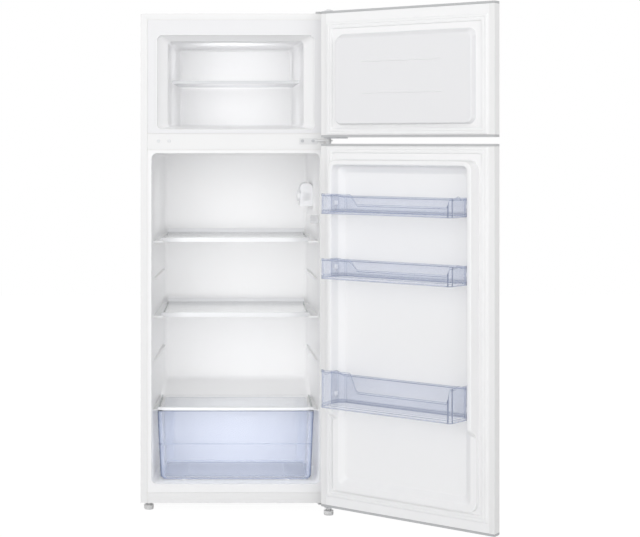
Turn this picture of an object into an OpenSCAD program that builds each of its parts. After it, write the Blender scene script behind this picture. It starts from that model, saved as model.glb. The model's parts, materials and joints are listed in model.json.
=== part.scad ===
// Free-standing top freezer refrigerator with both doors standing open.
// The cabinet is drawn about its own middle: X to the right, Y to the back with 0 at the front frame,
// Z up with 0 at the floor. Each door is drawn shut and then turned about its hinge axis.

/* [Cabinet] */
// Width of the cabinet and of both doors
cab_w = 550; // [540:2:560]
// Depth of the cabinet from its front frame to the rear edge of its sides
cab_d = 472; // [466:2:480]
// Height of the cabinet's top above the floor
cab_top = 1440; // [1436:1:1450]
// Height of the cabinet's underside above the floor
foot_h = 26; // [26:1:28]
// Thickness of the painted steel sheet
sheet = 0.8; // [0.6:0.1:1]
// Width of the steel front frame at the sides
frame_w = 20; // [17:1:22]
// Height of the steel front frame at the top
frame_top = 18; // [14:1:22]
// Height of the steel bar along the bottom of the front
bottom_bar = 30; // [24:1:33]
// Thickness of the moulded liners
liner_t = 1.5; // [1.2:0.1:1.8]
// Small gap left between pieces that seat on each other
seat = 0.2; // [0.1:0.05:0.3]

/* [Fridge compartment] */
// Width of the fridge opening
fridge_w = 486; // [480:1:490]
// Width of the fridge compartment at its back
fridge_back_w = 454; // [446:1:460]
// Depth of the fridge compartment
fridge_depth = 432; // [426:1:434]
// Height of the compartment's floor
fridge_floor = 81; // [78:1:84]
// Height of the compartment's ceiling
fridge_ceiling = 1036; // [1030:1:1040]
// Radius of the compartment's long corners
fridge_r = 16; // [10:1:22]
// Distance from the front to the step over the compressor
hump_y = 285; // [284:1:290]
// Height of the step at its front edge
hump_front = 287; // [282:1:287]
// Height of the step at the back wall
hump_back = 318; // [310:1:326]

/* [Freezer compartment] */
// Width of the freezer opening at the front
freezer_lip_w = 453; // [450:1:458]
// Width of the freezer compartment behind its stepped opening
freezer_w = 396; // [390:1:402]
// Width of the freezer compartment at its back
freezer_back_w = 360; // [350:1:370]
// Depth of the freezer compartment
freezer_depth = 415; // [405:1:425]
// Lower edge of the freezer opening
freezer_lip_z0 = 1106; // [1104:1:1108]
// Upper edge of the freezer opening
freezer_lip_z1 = 1377; // [1376:1:1380]
// Height of the freezer floor
freezer_floor = 1114; // [1112:1:1118]
// Height of the freezer ceiling
freezer_ceiling = 1362; // [1356:1:1366]

/* [Doors] */
// Thickness of each door without its raised inner panel
door_t = 42; // [40:1:46]
// Gap between the cabinet front and the shut doors
door_gap = 4.7; // [4.2:0.1:5.5]
// Radius of the doors' front vertical edges
door_r = 19; // [10:1:24]
// Angle of both doors from shut
open_angle = 142.7; // [0:0.1:150]
// Underside of the fridge door
fridge_door_z0 = 28; // [28:0.5:30]
// Top of the fridge door
fridge_door_z1 = 1064; // [1062:1:1064]
// Underside of the freezer door
freezer_door_z0 = 1082; // [1082:1:1084]
// Top of the freezer door
freezer_door_z1 = 1442; // [1440:1:1442]
// Height of the plastic end caps that close each door
cap_h = 6.5; // [4:0.5:8]
// Distance from the door's side to the hinge axis
pin_side = 8.5; // [8.5:0.5:10]
// Distance of the hinge axis in front of the cabinet
pin_front = 30; // [28:0.5:32]
// Radius of the hinge pins
pin_r = 4; // [3:0.25:4.25]
// Radial running clearance of the hinge pins and the feet's studs
run_fit = 0.06; // [0.04:0.01:0.09]
// Height of the raised panel inside the freezer door
plug_h = 20; // [14:1:22]
// Height of the ridge around the inside of the fridge door
ridge_h = 41; // [34:1:43]
// Height of that ridge beside the crisper
ridge_low_h = 12; // [8:1:16]
// Width of the ridge's flat top
ridge_w = 15; // [12:1:17]
// Thickness of the pressed gasket
gasket_t = 4.2; // [3:0.1:4.2]
// Width of the gasket
gasket_w = 20; // [16:1:22]

/* [Shelves and bins] */
// Width of the fridge shelves
shelf_w = 437; // [430:1:440]
// Distance of the shelves' front edge behind the cabinet front
shelf_front = 70; // [66:1:80]
// Distance of the shelves' rear edge behind the cabinet front
shelf_back = 418; // [410:1:420]
// Height of the upper shelf's glass
shelf1_z = 780; // [774:1:790]
// Height of the lower shelf's glass
shelf2_z = 560; // [550:1:570]
// Thickness of the glass shelves
glass_t = 4; // [3:0.5:5]
// Width of the drawer's front
drawer_w = 456; // [448:1:458]
// Height of the drawer's underside
drawer_z0 = 85; // [84.5:0.5:88]
// Height of the drawer's rim
drawer_z1 = 283.5; // [276:0.5:283.5]
// Distance of the drawer's front behind the cabinet front
drawer_front = 47; // [44:1:52]
// Wall thickness of the drawer and bins
tub_t = 2.4; // [1.8:0.1:3]
// Distance from the fridge door's panel to the front of its bins
bin_reach = 110; // [96:1:114]
// Underside of the upper bin
bin_upper_z = 870; // [864:1:880]
// Underside of the middle bin
bin_middle_z = 690; // [684:1:694]
// Underside of the lower bin
bin_lower_z = 333; // [326:1:350]
// Height of the two small bins
bin_h = 56; // [50:1:60]
// Height of the bottle bin
bottle_bin_h = 105; // [95:1:115]

/* [Controls and feet] */
// Width of the lamp housing across the compartment
lamp_w = 38; // [34:1:44]
// Distance of the lamp housing's face behind the cabinet front
lamp_front = 225; // [215:1:250]
// Diameter of the thermostat knob
knob_d = 33; // [26:1:36]
// Diameter of the feet
foot_d = 28; // [24:1:30]
// Diameter of the compressor's shell
comp_d = 124; // [110:1:130]
// Number of passes of the condenser tube
condenser_passes = 14; // [8:1:16]
// Number of wires across the condenser
condenser_wires_n = 26; // [10:1:40]

/* [Hidden] */

$fn = 48;
eps = 0.01;
big = 2000;
half_w = cab_w / 2;
inner_half = half_w - sheet;          // inside of the side panels
frame_half = half_w - frame_w;        // inner edge of the steel front frame
sheet_gap = 0.1;                      // clearance of the foam from sheet and liner

// hinge axis and door planes
pin_x = half_w - pin_side;
pin_y = -pin_front;
door_in = -door_gap;
door_out = door_in - door_t;

edge_r = 4;                           // radius of the cabinet's folded top edges
back_frame = 12;                      // width of the sheet folded over the back

// front frame between the compartments
rail_z0 = fridge_ceiling + 10;
rail_z1 = freezer_lip_z0 - 13;
rail_depth = 15;
flange_z0 = foot_h + bottom_bar + seat;
flange_top_z = cab_top - frame_top - seat;

// stepped freezer opening
lip_depth = 16;
funnel_depth = 40;
corner_in = 12;                       // inset of the rounded back corners
freezer_corner = 12;                  // radius of the freezer's long corners

// freezer shelf
freezer_rib_z = 1240;
freezer_shelf_t = 4;
freezer_shelf_front = 80;
freezer_shelf_back = freezer_depth - 27;

// evaporators
evap_r = 4;
evap_fit = 0.8;                       // clearance of the evaporator's tube from liner and foam
evap_off = liner_t + evap_r + evap_fit;
evap_y = 90;
evap_pitch = 56;
evap_turns = 5;
evap_half = 150;
evap_z = 560;
evap_step = 56;
fridge_evap_y = fridge_depth + evap_off;
drain_r = 6;

// compressor recess
recess_y = hump_y + 45;
recess_z = hump_front - 40;
comp_rail_z = foot_h + 4;
comp_rail_t = 2;

// ribs under the shelves
rib_t = 7;
rib_fit = 0.05;                       // hair's breadth between the ribs and the liner
rib_in = shelf_w / 2 - 6;             // how far the ribs reach towards the middle
rib_y0 = shelf_front - 8;
rib_y1 = shelf_back + 2;
spare_rib_z = [670, 430];
cover_rib_t = 3;
cover_z = drawer_z1 + 0.5 + cover_rib_t + seat;
cover_half = drawer_w / 2;
cover_back = hump_y - 1;
runner_x = 150;
runner_w = 12;

// door panels
skin_return = 16;
plug_side = 55;                       // from the door's side to the freezer panel
plug_taper = 4;
plug_z0 = freezer_lip_z0 + 12;
plug_z1 = freezer_lip_z1 - 3;
plug_slope = 13;
plug_r = 20;
ridge_side = 46;                      // from the door's side to the ridge
ridge_z0 = fridge_floor + 2.5;
ridge_z1 = fridge_ceiling - 16;
ridge_r = 26;
ridge_taper = 7;
ridge_mid_h = 14;                     // height at which the ridge's inner wall flares
ridge_flare = 19;
ridge_lean = 4;                       // how far its inner wall leans in between its top and its flare
ridge_step_z0 = cover_z + 4;
ridge_step_z1 = ridge_step_z0 + 16;
gasket_side = 19.4;

// bins
bin_gap = 0.6;                        // between a bin and the ridge's inner wall
bin_half = half_w - ridge_side - ridge_w - bin_gap;
bin_back = 1;
bin_nose = 8;                         // how much each end narrows towards the front
bin_r = 10;
lug_p = [18, 30];
lug_z = [22, 34];
lug_out = 5;
horn_end = 104;                       // length of the raised part of a bin's front
horn_curve = 28;

// condenser
cond_y = cab_d + 12;
cond_r = 2.4;
wire_r = 0.8;
cond_half = half_w - 43;
cond_z0 = recess_z + 60;
cond_z1 = cab_top - 90;
cond_pitch = (cond_z1 - cond_z0) / (condenser_passes - 1);

// compressor
comp_x = 60;
comp_y = recess_y + comp_d / 2 + 10;
comp_z = comp_rail_z + comp_rail_t + 18;
comp_h = 165;
comp_neck_r = 6;
comp_feet = [for (sx = [-1, 1], sy = [-1, 1]) [comp_x + sx * 84, comp_y + sy * 34]];
pipe_x = cond_half - 20;              // where the discharge pipe meets the condenser
pipe_y = recess_y + 116;
pipe_z = recess_z - 34;
return_x = cond_half + 14;            // condenser's return line down to the drier
drier_x = half_w - 39;
drier_y = recess_y + 106;
drier_z = 110;
drier_h = 84;
capillary_r = 1.2;
gland_x = -200;
gland_z = 120;
gland_r = 6;
cord_r = 3.5;

// lamp housing on the right-hand wall
lamp_wall = wall_x(lamp_front);
lamp_x0 = lamp_wall - lamp_w;
lamp_len = 120;
lamp_back = lamp_front + lamp_len;
lamp_z0 = 874;
lamp_z1 = 931;
lamp_dome = 13;
knob_y = lamp_front + 34;
knob_z = 905;
knob_t = 8;
slot_pitch = 5.6;

// light switch beside the opening
switch_z = 845;
switch_y = 46;
plunger_x = half_w - ridge_side - 4.5; // in line with the ridge's flat top
plunger_half = 3;
plunger_tip = door_in + ridge_h + 0.7;

// feet
foot_x = -half_w + 22;
foot_y = 40;
foot_disc = 3;
foot_grip_h = 10;
foot_teeth = 18;
foot_step = 1;
rear_foot_x = half_w - 35;
rear_foot_y = cab_d - 50;

// hinges and their screws
hinge_screw_x = [half_w - 82.4, half_w - 52];
mid_screw_z = 1072;
bottom_screw_x = half_w - 21;
bottom_screw_y = [22, 48];
top_screw_x = half_w - 25;
bottom_plate_x = half_w - 37;         // inner edge of each hinge's plate
top_plate_x = half_w - 43;
top_pad_x = half_w - 39;
mid_plate_x0 = half_w - 91;
mid_plate_x1 = half_w - 37;
plate_corner = 4;                     // bevelled corners of the middle hinge's plate
top_screw_y = [26, 48];
screw_r = 2.2;
screw_head_r = 4.6;
screw_head_h = 2.2;
bracket_z0 = foot_h - 6;
bracket_z1 = foot_h - 3;
bracket_pad = foot_h - seat / 2;
top_plate_z = freezer_door_z1 + 1.2;
stop_t = 3;
fridge_stop_z = fridge_door_z0 - seat - stop_t;
freezer_stop_z = freezer_door_z0 - seat - stop_t;
boss_r = pin_side - sheet - 0.3;

// the rest pose's lowest and highest corners, which put the origin below the middle of the whole
function turned(x, y) = [
    pin_x + (x - pin_x) * cos(open_angle) - (y - pin_y) * sin(open_angle),
    pin_y + (x - pin_x) * sin(open_angle) + (y - pin_y) * cos(open_angle)];
edge_points = [for (s = [-half_w + door_r], a = [0:5:90]) turned(s - door_r * cos(a),
    door_out + door_r - door_r * sin(a))];
reach_points = concat(edge_points, [turned(-half_w, door_in), turned(-bin_half, door_in + bin_reach)]);
low_x = -half_w;
high_x = max([for (p = reach_points) p[0]]);
low_y = min([for (p = reach_points) p[1]]);
high_y = cond_y + cond_r + 2 * wire_r + 0.1;
origin_shift = [-(low_x + high_x) / 2, -(low_y + high_y) / 2, 0];

WHITE = [0.95, 0.95, 0.95];
OFF_WHITE = [0.90, 0.91, 0.92];
ICE_BLUE = [0.72, 0.80, 0.92];
GREY = [0.55, 0.56, 0.58];
DARK = [0.12, 0.12, 0.13];
STEEL = [0.70, 0.71, 0.73];

// ---------- outlines ----------

function arc(cx, cy, r, a0, a1, n = 6) = [for (i = [0:n]) let (a = a0 + (a1 - a0) * i / n) [cx + r * cos(a), cy + r * sin(a)]];

function round_box(x0, y0, x1, y1, r) = concat(
    arc(x1 - r, y1 - r, r, 0, 90), arc(x0 + r, y1 - r, r, 90, 180),
    arc(x0 + r, y0 + r, r, 180, 270), arc(x1 - r, y0 + r, r, 270, 360));

// half width of the fridge compartment at a distance y behind the front
function wall_x(y) = fridge_w / 2 - (fridge_w - fridge_back_w) / 2 * y / (fridge_depth - corner_in);

// half width of the freezer compartment at a distance y behind the front
function freezer_wall(y) = freezer_w / 2
    - (freezer_w - freezer_back_w) / 2 * (y - funnel_depth) / (freezer_depth - corner_in - funnel_depth);

// a thin upright plate at y with a rounded outline in X and Z
module slab(y, half, z0, z1, r, shift = 0)
    translate([shift, y, 0]) rotate([90, 0, 0]) linear_extrude(eps) polygon(round_box(-half, z0, half, z1,
        r));

// an outline in Y and Z carried across X
module across(x0, x1, points)
    translate([x0, 0, 0]) rotate([90, 0, 90]) linear_extrude(x1 - x0) polygon(points);

// an outline in X and Z carried along Y
module along(y0, y1, points)
    translate([0, y1, 0]) rotate([90, 0, 0]) linear_extrude(y1 - y0) polygon(points);

module box(x0, y0, z0, x1, y1, z1)
    translate([x0, y0, z0]) cube([x1 - x0, y1 - y0, z1 - z0]);

module upright(x, y, z0, z1, r)
    translate([x, y, z0]) cylinder(r = r, h = z1 - z0);

function unit(v) = v / norm(v);

// a round tube through points, with a reference direction that the path never follows
module tube(points, r, up, sides = 8) {
    n = len(points);
    rings = [for (i = [0:n - 1])
        let (d = unit(points[min(i + 1, n - 1)] - points[max(i - 1, 0)]),
            a = unit(cross(d, up)), b = cross(a, d))
        for (k = [0:sides - 1]) points[i] + r * (cos(360 * k / sides) * a + sin(360 * k / sides) * b)];
    sides_list = [for (i = [0:n - 2], k = [0:sides - 1])
        let (m = (k + 1) % sides) [i * sides + m, (i + 1) * sides + m, (i + 1) * sides + k, i * sides + k]];
    ends = [[for (k = [sides - 1:-1:0]) k], [for (k = [0:sides - 1]) (n - 1) * sides + k]];
    polyhedron(points = rings, faces = concat(sides_list, ends), convexity = 10);
}

// ---------- compartments ----------

module hump(inset) {
    y = hump_y + inset;
    z = hump_front - inset;
    slope = atan2(hump_back - hump_front, fridge_depth - hump_y);
    r = 14;
    across(-big / 2, big / 2, concat([[y, 0]], arc(y + r, z - r, r, 180, 90 + slope, 4),
        [[fridge_depth + 40, hump_back + (hump_back - hump_front) / (fridge_depth - hump_y) * 40 - inset],
        [fridge_depth + 40, 0]]));
}

// the fridge compartment grown outwards by g
module fridge_space(g, front = 0)
    difference() {
        hull() {
            slab(-front, fridge_w / 2 + g, fridge_floor - g, fridge_ceiling + g, fridge_r + g);
            slab(fridge_depth - corner_in, fridge_back_w / 2 + g, fridge_floor - g, fridge_ceiling + g,
                fridge_r + g);
            slab(fridge_depth + g, fridge_back_w / 2 + g - corner_in, fridge_floor - g + corner_in,
                fridge_ceiling + g - corner_in, fridge_r - corner_in + g + 2);
        }
        hump(g);
    }

// the freezer compartment grown outwards by g
module freezer_space(g, front = 0) {
    lip = freezer_lip_w / 2 + g;
    mid = freezer_w / 2 + g;
    end = freezer_back_w / 2 + g;
    along(-front, lip_depth, round_box(-lip, freezer_lip_z0 - g, lip, freezer_lip_z1 + g, 14 + g));
    hull() {
        slab(lip_depth, lip, freezer_lip_z0 - g, freezer_lip_z1 + g, 14 + g);
        slab(funnel_depth, mid, freezer_floor - g, freezer_ceiling + g, freezer_corner + g);
    }
    hull() {
        slab(funnel_depth, mid, freezer_floor - g, freezer_ceiling + g, freezer_corner + g);
        slab(freezer_depth - corner_in, end, freezer_floor - g, freezer_ceiling + g, freezer_corner + g);
        slab(freezer_depth + g, end - corner_in, freezer_floor - g + 8, freezer_ceiling + g - 8, 4 + g);
    }
}

// one rib along each side wall of the fridge compartment, with its top at z
module wall_ribs(z, t, x_in, y0, y1)
    for (s = [-1, 1])
        translate([0, 0, z - t]) linear_extrude(t)
            polygon([[s * x_in, y0 + 12], [s * (x_in + 8), y0], [s * (wall_x(y0) - rib_fit), y0],
                [s * (wall_x(y1) - rib_fit), y1], [s * x_in, y1]]);

// ---------- cabinet ----------

// the cabinet's cross section down to z0, shrunk by i
function shell_outline(i, z0) = concat([[-half_w + i, z0]],
    arc(-half_w + edge_r, cab_top - edge_r, edge_r - i, 180, 90),
    arc(half_w - edge_r, cab_top - edge_r, edge_r - i, 90, 0), [[half_w - i, z0]]);

// one folded sheet makes the sides and the top, with narrow returns around the front and the back
module cabinet_shell() color(WHITE)
    difference() {
        along(0, cab_d, shell_outline(0, foot_h));
        along(sheet, cab_d - sheet, shell_outline(sheet, foot_h - 1));
        box(-frame_half, -1, foot_h - 1, frame_half, sheet + 1, cab_top - frame_top);
        box(-half_w + back_frame, cab_d - sheet - 1, foot_h - 1, half_w - back_frame, cab_d + 1,
            cab_top - back_frame);
    }

module back_panel() color(OFF_WHITE)
    along(cab_d - 2 * sheet - seat / 2, cab_d - sheet - seat / 2,
        shell_outline(sheet + seat, recess_z + sheet + seat));

module recess_panel() color(STEEL)
    difference() {
        across(-inner_half + seat, inner_half - seat, [[recess_y, foot_h + sheet + seat],
            [recess_y, recess_z + sheet],
            [cab_d - sheet - seat, recess_z + sheet], [cab_d - sheet - seat, recess_z],
                [recess_y + sheet, recess_z],
            [recess_y + sheet, foot_h + sheet + seat]]);
        translate([gland_x, recess_y - 1, gland_z]) rotate([-90, 0, 0]) cylinder(r = gland_r + run_fit,
            h = 3);
    }

// rubber gland for the mains cord
module cord_gland() color(DARK)
    translate([gland_x, recess_y, gland_z]) rotate([-90, 0, 0]) difference() {
        union() {
            cylinder(r = gland_r, h = sheet + seat);
            translate([0, 0, sheet + seat / 2]) cylinder(r = gland_r + 4, h = 2.5);
            translate([0, 0, sheet + 2]) cylinder(r1 = gland_r, r2 = gland_r - 1.5, h = 14);
        }
        translate([0, 0, 4]) cylinder(r = cord_r, h = 20);
    }

// insulation foamed between the sheet and the liners, with room for the evaporators' tubes
module cabinet_foam() color([0.95, 0.90, 0.70])
    difference() {
        foam_gap = liner_t + sheet_gap;
        along(foam_gap, cab_d - 2 * sheet - seat, shell_outline(sheet + sheet_gap,
            foot_h + sheet + sheet_gap));
        box(-half_w, recess_y - sheet_gap, 0, half_w, cab_d, recess_z + sheet + sheet_gap);
        fridge_space(foam_gap);
        freezer_space(foam_gap);
        box(-frame_half, 0, rail_z0, frame_half, rail_depth + 1, rail_z1);
        intersection() {
            freezer_space(evap_off + evap_r + evap_fit);
            box(-half_w, evap_y - evap_r - 1, 0, half_w, evap_y + evap_turns * evap_pitch + evap_r + 1,
                cab_top);
        }
        box(-evap_half - evap_r - 1, fridge_depth, evap_z - evap_r - 1, evap_half + evap_r + 1,
            fridge_evap_y + evap_r + evap_fit, evap_z + 5 * evap_step + evap_r + 1);
        // passage of the drain tube down the back of the compartment
        drain_axis() cylinder(r = drain_r + 3, h = 80, center = true);
    }

module drain_axis() translate([0, fridge_depth - 6, hump_back + 3]) rotate([-75, 0, 0]) children();

module freezer_liner() color(WHITE) {
    difference() {
        union() {
            freezer_space(liner_t);
            along(0, liner_t, [[-frame_half + seat, rail_z1 + seat], [-frame_half + seat, flange_top_z],
                [frame_half - seat, flange_top_z], [frame_half - seat, rail_z1 + seat]]);
        }
        freezer_space(0, 1);
    }
    // ribs that carry the freezer shelf
    for (s = [-1, 1])
        translate([0, 0, freezer_rib_z - 5]) linear_extrude(5)
            polygon([[s * (freezer_back_w / 2 - 8), 70], [s * (freezer_wall(60) + 0.5), 60],
                [s * (freezer_wall(freezer_shelf_back + 2) + 0.5), freezer_shelf_back + 2],
                [s * (freezer_back_w / 2 - 8), freezer_shelf_back + 2]]);
}

module fridge_liner() color(WHITE) {
    difference() {
        union() {
            fridge_space(liner_t);
            along(0, liner_t, [[-frame_half + seat, flange_z0], [-frame_half + seat, rail_z0 - seat],
                [frame_half - seat, rail_z0 - seat], [frame_half - seat, flange_z0]]);
        }
        fridge_space(0, 1);
        // mouth of the drain in the back wall, above the step
        drain_axis() cylinder(r = drain_r, h = 40, center = true);
    }
}

// ribs along the side walls that carry the shelves and the drawer's cover, and low rails under the drawer
module shelf_ribs() color(WHITE) {
    for (z = concat([shelf1_z - seat, shelf2_z - seat], spare_rib_z))
        wall_ribs(z, rib_t, rib_in, rib_y0, rib_y1);
    wall_ribs(cover_z - seat, cover_rib_t, cover_half - 14, drawer_front + 2, cover_back - 2);
    for (s = [-1, 1])
        box(s * runner_x - runner_w / 2, drawer_front + 4, fridge_floor + rib_fit,
            s * runner_x + runner_w / 2, cover_back - 6, drawer_z0 - seat);
}

module mid_rail() color(WHITE)
    difference() {
        t = 1.2;
        across(-frame_half + seat, frame_half - seat, [[0, rail_z0 + seat], [0, rail_z1 - seat],
            [rail_depth, rail_z1 - seat], [rail_depth, rail_z1 - seat - t], [t, rail_z1 - seat - t],
            [t, rail_z0 + seat + t], [rail_depth, rail_z0 + seat + t], [rail_depth, rail_z0 + seat]]);
        for (x = concat(hinge_screw_x, -hinge_screw_x))
            translate([x, -1, mid_screw_z]) rotate([-90, 0, 0]) cylinder(r = screw_r + run_fit, h = 5);
    }

module base_plate() color(WHITE)
    difference() {
        union() {
            box(-inner_half + seat, sheet + seat, foot_h, inner_half - seat, recess_y - seat,
                foot_h + sheet);
            box(-frame_half + seat, 0, foot_h, frame_half - seat, sheet + seat + eps, foot_h + bottom_bar);
            box(-frame_half + seat, 0, foot_h, frame_half - seat, 14, foot_h + sheet);
            translate([foot_x, foot_y, foot_h - 7]) cylinder(r = 8.5, h = 7 + eps, $fn = 6);
        }
        upright(foot_x, foot_y, foot_h - 8, foot_h + 2, pin_r + run_fit);
        for (y = bottom_screw_y) upright(bottom_screw_x, y, foot_h - 1, foot_h + 2, screw_r + run_fit);
    }

module compressor_rail() color(STEEL)
    difference() {
        y0 = recess_y + 10;
        y1 = cab_d - 4;
        across(-inner_half + seat, inner_half - seat, [[y0, comp_rail_z], [y0, comp_rail_z + 16],
            [y0 + comp_rail_t, comp_rail_z + 16], [y0 + comp_rail_t, comp_rail_z + comp_rail_t],
            [y1 - comp_rail_t, comp_rail_z + comp_rail_t], [y1 - comp_rail_t, comp_rail_z + 16],
            [y1, comp_rail_z + 16], [y1, comp_rail_z]]);
        for (p = comp_feet) upright(p[0], p[1], comp_rail_z - 1, comp_rail_z + 4, comp_neck_r + run_fit);
        for (s = [-1, 1]) upright(s * rear_foot_x, rear_foot_y, comp_rail_z - 1, comp_rail_z + 4,
            4 + run_fit);
    }

// outline of a foot's grip: a ring of low teeth
foot_grip = [for (i = [0:foot_teeth - 1], t = [[-0.3, 0], [-0.22, 1], [0.22, 1], [0.3, 0]])
    let (a = (i + t[0]) * 360 / foot_teeth, r = foot_d / 2 - foot_step + 0.9 * foot_step * t[1])
        [r * cos(a), r * sin(a)]];

// a levelling foot: a disc with a toothed grip on a stud
module levelling_foot(x, y, stud_top) color(OFF_WHITE)
    translate([x, y, 0]) {
        cylinder(d1 = foot_d - 3 * foot_step, d2 = foot_d, h = foot_disc);
        translate([0, 0, foot_disc - eps]) linear_extrude(foot_grip_h + eps) polygon(foot_grip);
        translate([0, 0, foot_disc + foot_grip_h - eps])
            cylinder(d1 = foot_d - 3 * foot_step, d2 = foot_d - 8 * foot_step, h = 1.5 * foot_step + eps);
        cylinder(r = pin_r, h = stud_top);
    }

module foot_left() levelling_foot(foot_x, foot_y, foot_h + sheet - 0.1);

module foot_right() levelling_foot(pin_x, pin_y, bracket_z1 - seat);

module rear_feet() color(GREY)
    for (s = [-1, 1]) translate([s * rear_foot_x, rear_foot_y, 0]) {
        cylinder(r1 = 13, r2 = 15, h = 4);
        translate([0, 0, 4]) cylinder(r1 = 15, r2 = 12, h = comp_rail_z - seat - 4);
        cylinder(r = 4, h = comp_rail_z + comp_rail_t + 3);
        translate([0, 0, comp_rail_z + comp_rail_t + seat]) cylinder(r = 7, h = 3);
    }

// ---------- hinges ----------

// plan of a hinge plate: a strip on the cabinet that runs forward and out to the pin
module hinge_plan(x0, y_back) {
    polygon([[x0, 6], [x0, y_back], [pin_x + 6, y_back], [pin_x + 10, 0], [pin_x + 10, pin_y],
        [pin_x - 11, pin_y], [pin_x - 14, -8]]);
    translate([pin_x, pin_y]) circle(r = 12);
}

module bottom_hinge() color(GREY)
    difference() {
        union() {
            translate([0, 0, bracket_z0]) linear_extrude(bracket_z1 - bracket_z0) hinge_plan(bottom_plate_x, 60);
            box(bottom_plate_x, 10, bracket_z1 - eps, pin_x + 4, 60, bracket_pad);
            upright(pin_x, pin_y, bracket_z1 - eps, fridge_stop_z - seat, 8);
            upright(pin_x, pin_y, bracket_z1, fridge_door_z0 + 18, pin_r);
            translate([pin_x, pin_y, bracket_z0 - 4]) cylinder(r = 8, h = 4 + eps, $fn = 6);
        }
        upright(pin_x, pin_y, bracket_z0 - 5, bracket_z1, pin_r + run_fit);
        for (y = bottom_screw_y) upright(bottom_screw_x, y, bracket_z0 - 1, bracket_pad + 1,
            screw_r + run_fit);
    }

module middle_hinge() color(STEEL)
    difference() {
        arm_z = (fridge_door_z1 + freezer_door_z0) / 2 - 2;
        arm_t = 3;
        union() {
            translate([0, 0, arm_z]) linear_extrude(arm_t)
                union() {
                    polygon([[mid_plate_x1 - 9, -0.1], [mid_plate_x1, -0.1], [pin_x + 6, -6],
                        [pin_x + 11, pin_y], [pin_x - 11, pin_y - 4], [mid_plate_x1 - 2, -17]]);
                    translate([pin_x, pin_y]) circle(r = 12);
                }
            along(-2.6, -0.1, [[mid_plate_x0, fridge_door_z1 - 2], [mid_plate_x0, freezer_door_z0 - 2],
                [mid_plate_x1 - plate_corner, freezer_door_z0 - 2],
                [mid_plate_x1, freezer_door_z0 - 2 - plate_corner],
                [mid_plate_x1, fridge_door_z1 - 2 + plate_corner],
                [mid_plate_x1 - plate_corner, fridge_door_z1 - 2]]);
            upright(pin_x, pin_y, arm_z + eps, freezer_stop_z - seat, 7.4);
            upright(pin_x, pin_y, arm_z + eps, freezer_door_z0 + 18, pin_r);
            upright(pin_x, pin_y, fridge_door_z1 + seat, arm_z + eps, 7.4);
            upright(pin_x, pin_y, fridge_door_z1 - 18, arm_z + eps, pin_r);
        }
        for (x = hinge_screw_x)
            translate([x, -4, mid_screw_z]) rotate([-90, 0, 0]) cylinder(r = screw_r + run_fit, h = 5);
    }

module top_hinge() color(GREY)
    difference() {
        union() {
            translate([0, 0, top_plate_z]) linear_extrude(3) hinge_plan(top_plate_x, 64);
            box(top_pad_x, 10, cab_top + 0.05, pin_x + 4, 62, top_plate_z + eps);
            upright(pin_x, pin_y, freezer_door_z1 - 18, top_plate_z + 1, pin_r);
            upright(pin_x, pin_y, top_plate_z + 3 - eps, top_plate_z + 6, 6);
        }
        for (y = top_screw_y) upright(top_screw_x, y, cab_top - 1, top_plate_z + 5, screw_r + run_fit);
    }

module screw_head(length) {
    cylinder(r1 = screw_head_r, r2 = screw_head_r - 0.8, h = screw_head_h);
    translate([0, 0, -length]) cylinder(r = screw_r, h = length + 1);
}

module hinge_screws() color(STEEL) {
    for (y = top_screw_y) translate([top_screw_x, y,
        top_plate_z + 3.05]) screw_head(top_plate_z + 2.9 - cab_top);
    for (x = hinge_screw_x) translate([x, -2.65, mid_screw_z]) rotate([90, 0, 0]) screw_head(3.6);
    for (y = bottom_screw_y)
        translate([bottom_screw_x, y, bracket_z0 - 0.05]) rotate([180, 0,
            0]) screw_head(foot_h + sheet - 0.2 - bracket_z0);
}

// caps in the spare hinge holes at the other side
module plug_caps() color(OFF_WHITE)
    for (x = hinge_screw_x) translate([-x, -0.05, mid_screw_z]) rotate([90, 0, 0]) {
        cylinder(r1 = 5, r2 = 4, h = 1.6);
        translate([0, 0, -2]) cylinder(r = screw_r, h = 3);
    }

// ---------- cooling circuit ----------

module compressor() color(DARK) {
    translate([comp_x, comp_y, comp_z]) {
        cylinder(d = comp_d - 8, h = 6);
        translate([0, 0, 6 - eps]) cylinder(d1 = comp_d - 8, d2 = comp_d, h = 10);
        translate([0, 0, 16 - 2 * eps]) cylinder(d = comp_d, h = comp_h - 62);
        translate([0, 0, comp_h - 46 - 3 * eps]) cylinder(d = comp_d + 5, h = 5);
        translate([0, 0, comp_h - 41 - 4 * eps]) cylinder(d = comp_d, h = 8);
        translate([0, 0, comp_h - 33 - 5 * eps]) cylinder(d1 = comp_d, d2 = comp_d - 40, h = 33);
    }
    difference() {
        box(comp_x - 98, comp_y - 46, comp_z, comp_x + 98, comp_y + 46, comp_z + 4);
        for (p = comp_feet) upright(p[0], p[1], comp_z - 1, comp_z + 5, comp_neck_r + run_fit);
    }
}

// rubber grommets between the compressor's foot plate and its rail
module compressor_mounts() color(DARK)
    for (p = comp_feet) {
        upright(p[0], p[1], comp_rail_z - 1.5, comp_z + 7, comp_neck_r);
        upright(p[0], p[1], comp_rail_z + comp_rail_t + 0.1, comp_z - 0.1, 10);
        upright(p[0], p[1], comp_z + 4.1, comp_z + 7, 9);
        upright(p[0], p[1], comp_rail_z - 3, comp_rail_z - 0.1, 9);
    }

module relay_box() color([0.20, 0.20, 0.21]) {
    x0 = comp_x - comp_d / 2 - 30;
    difference() {
        box(x0, comp_y - 30, comp_z + 34, comp_x - comp_d / 2 + 24, comp_y + 30, comp_z + 94);
        upright(comp_x, comp_y, comp_z, comp_z + comp_h, comp_d / 2 + 0.2);
    }
}

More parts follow.
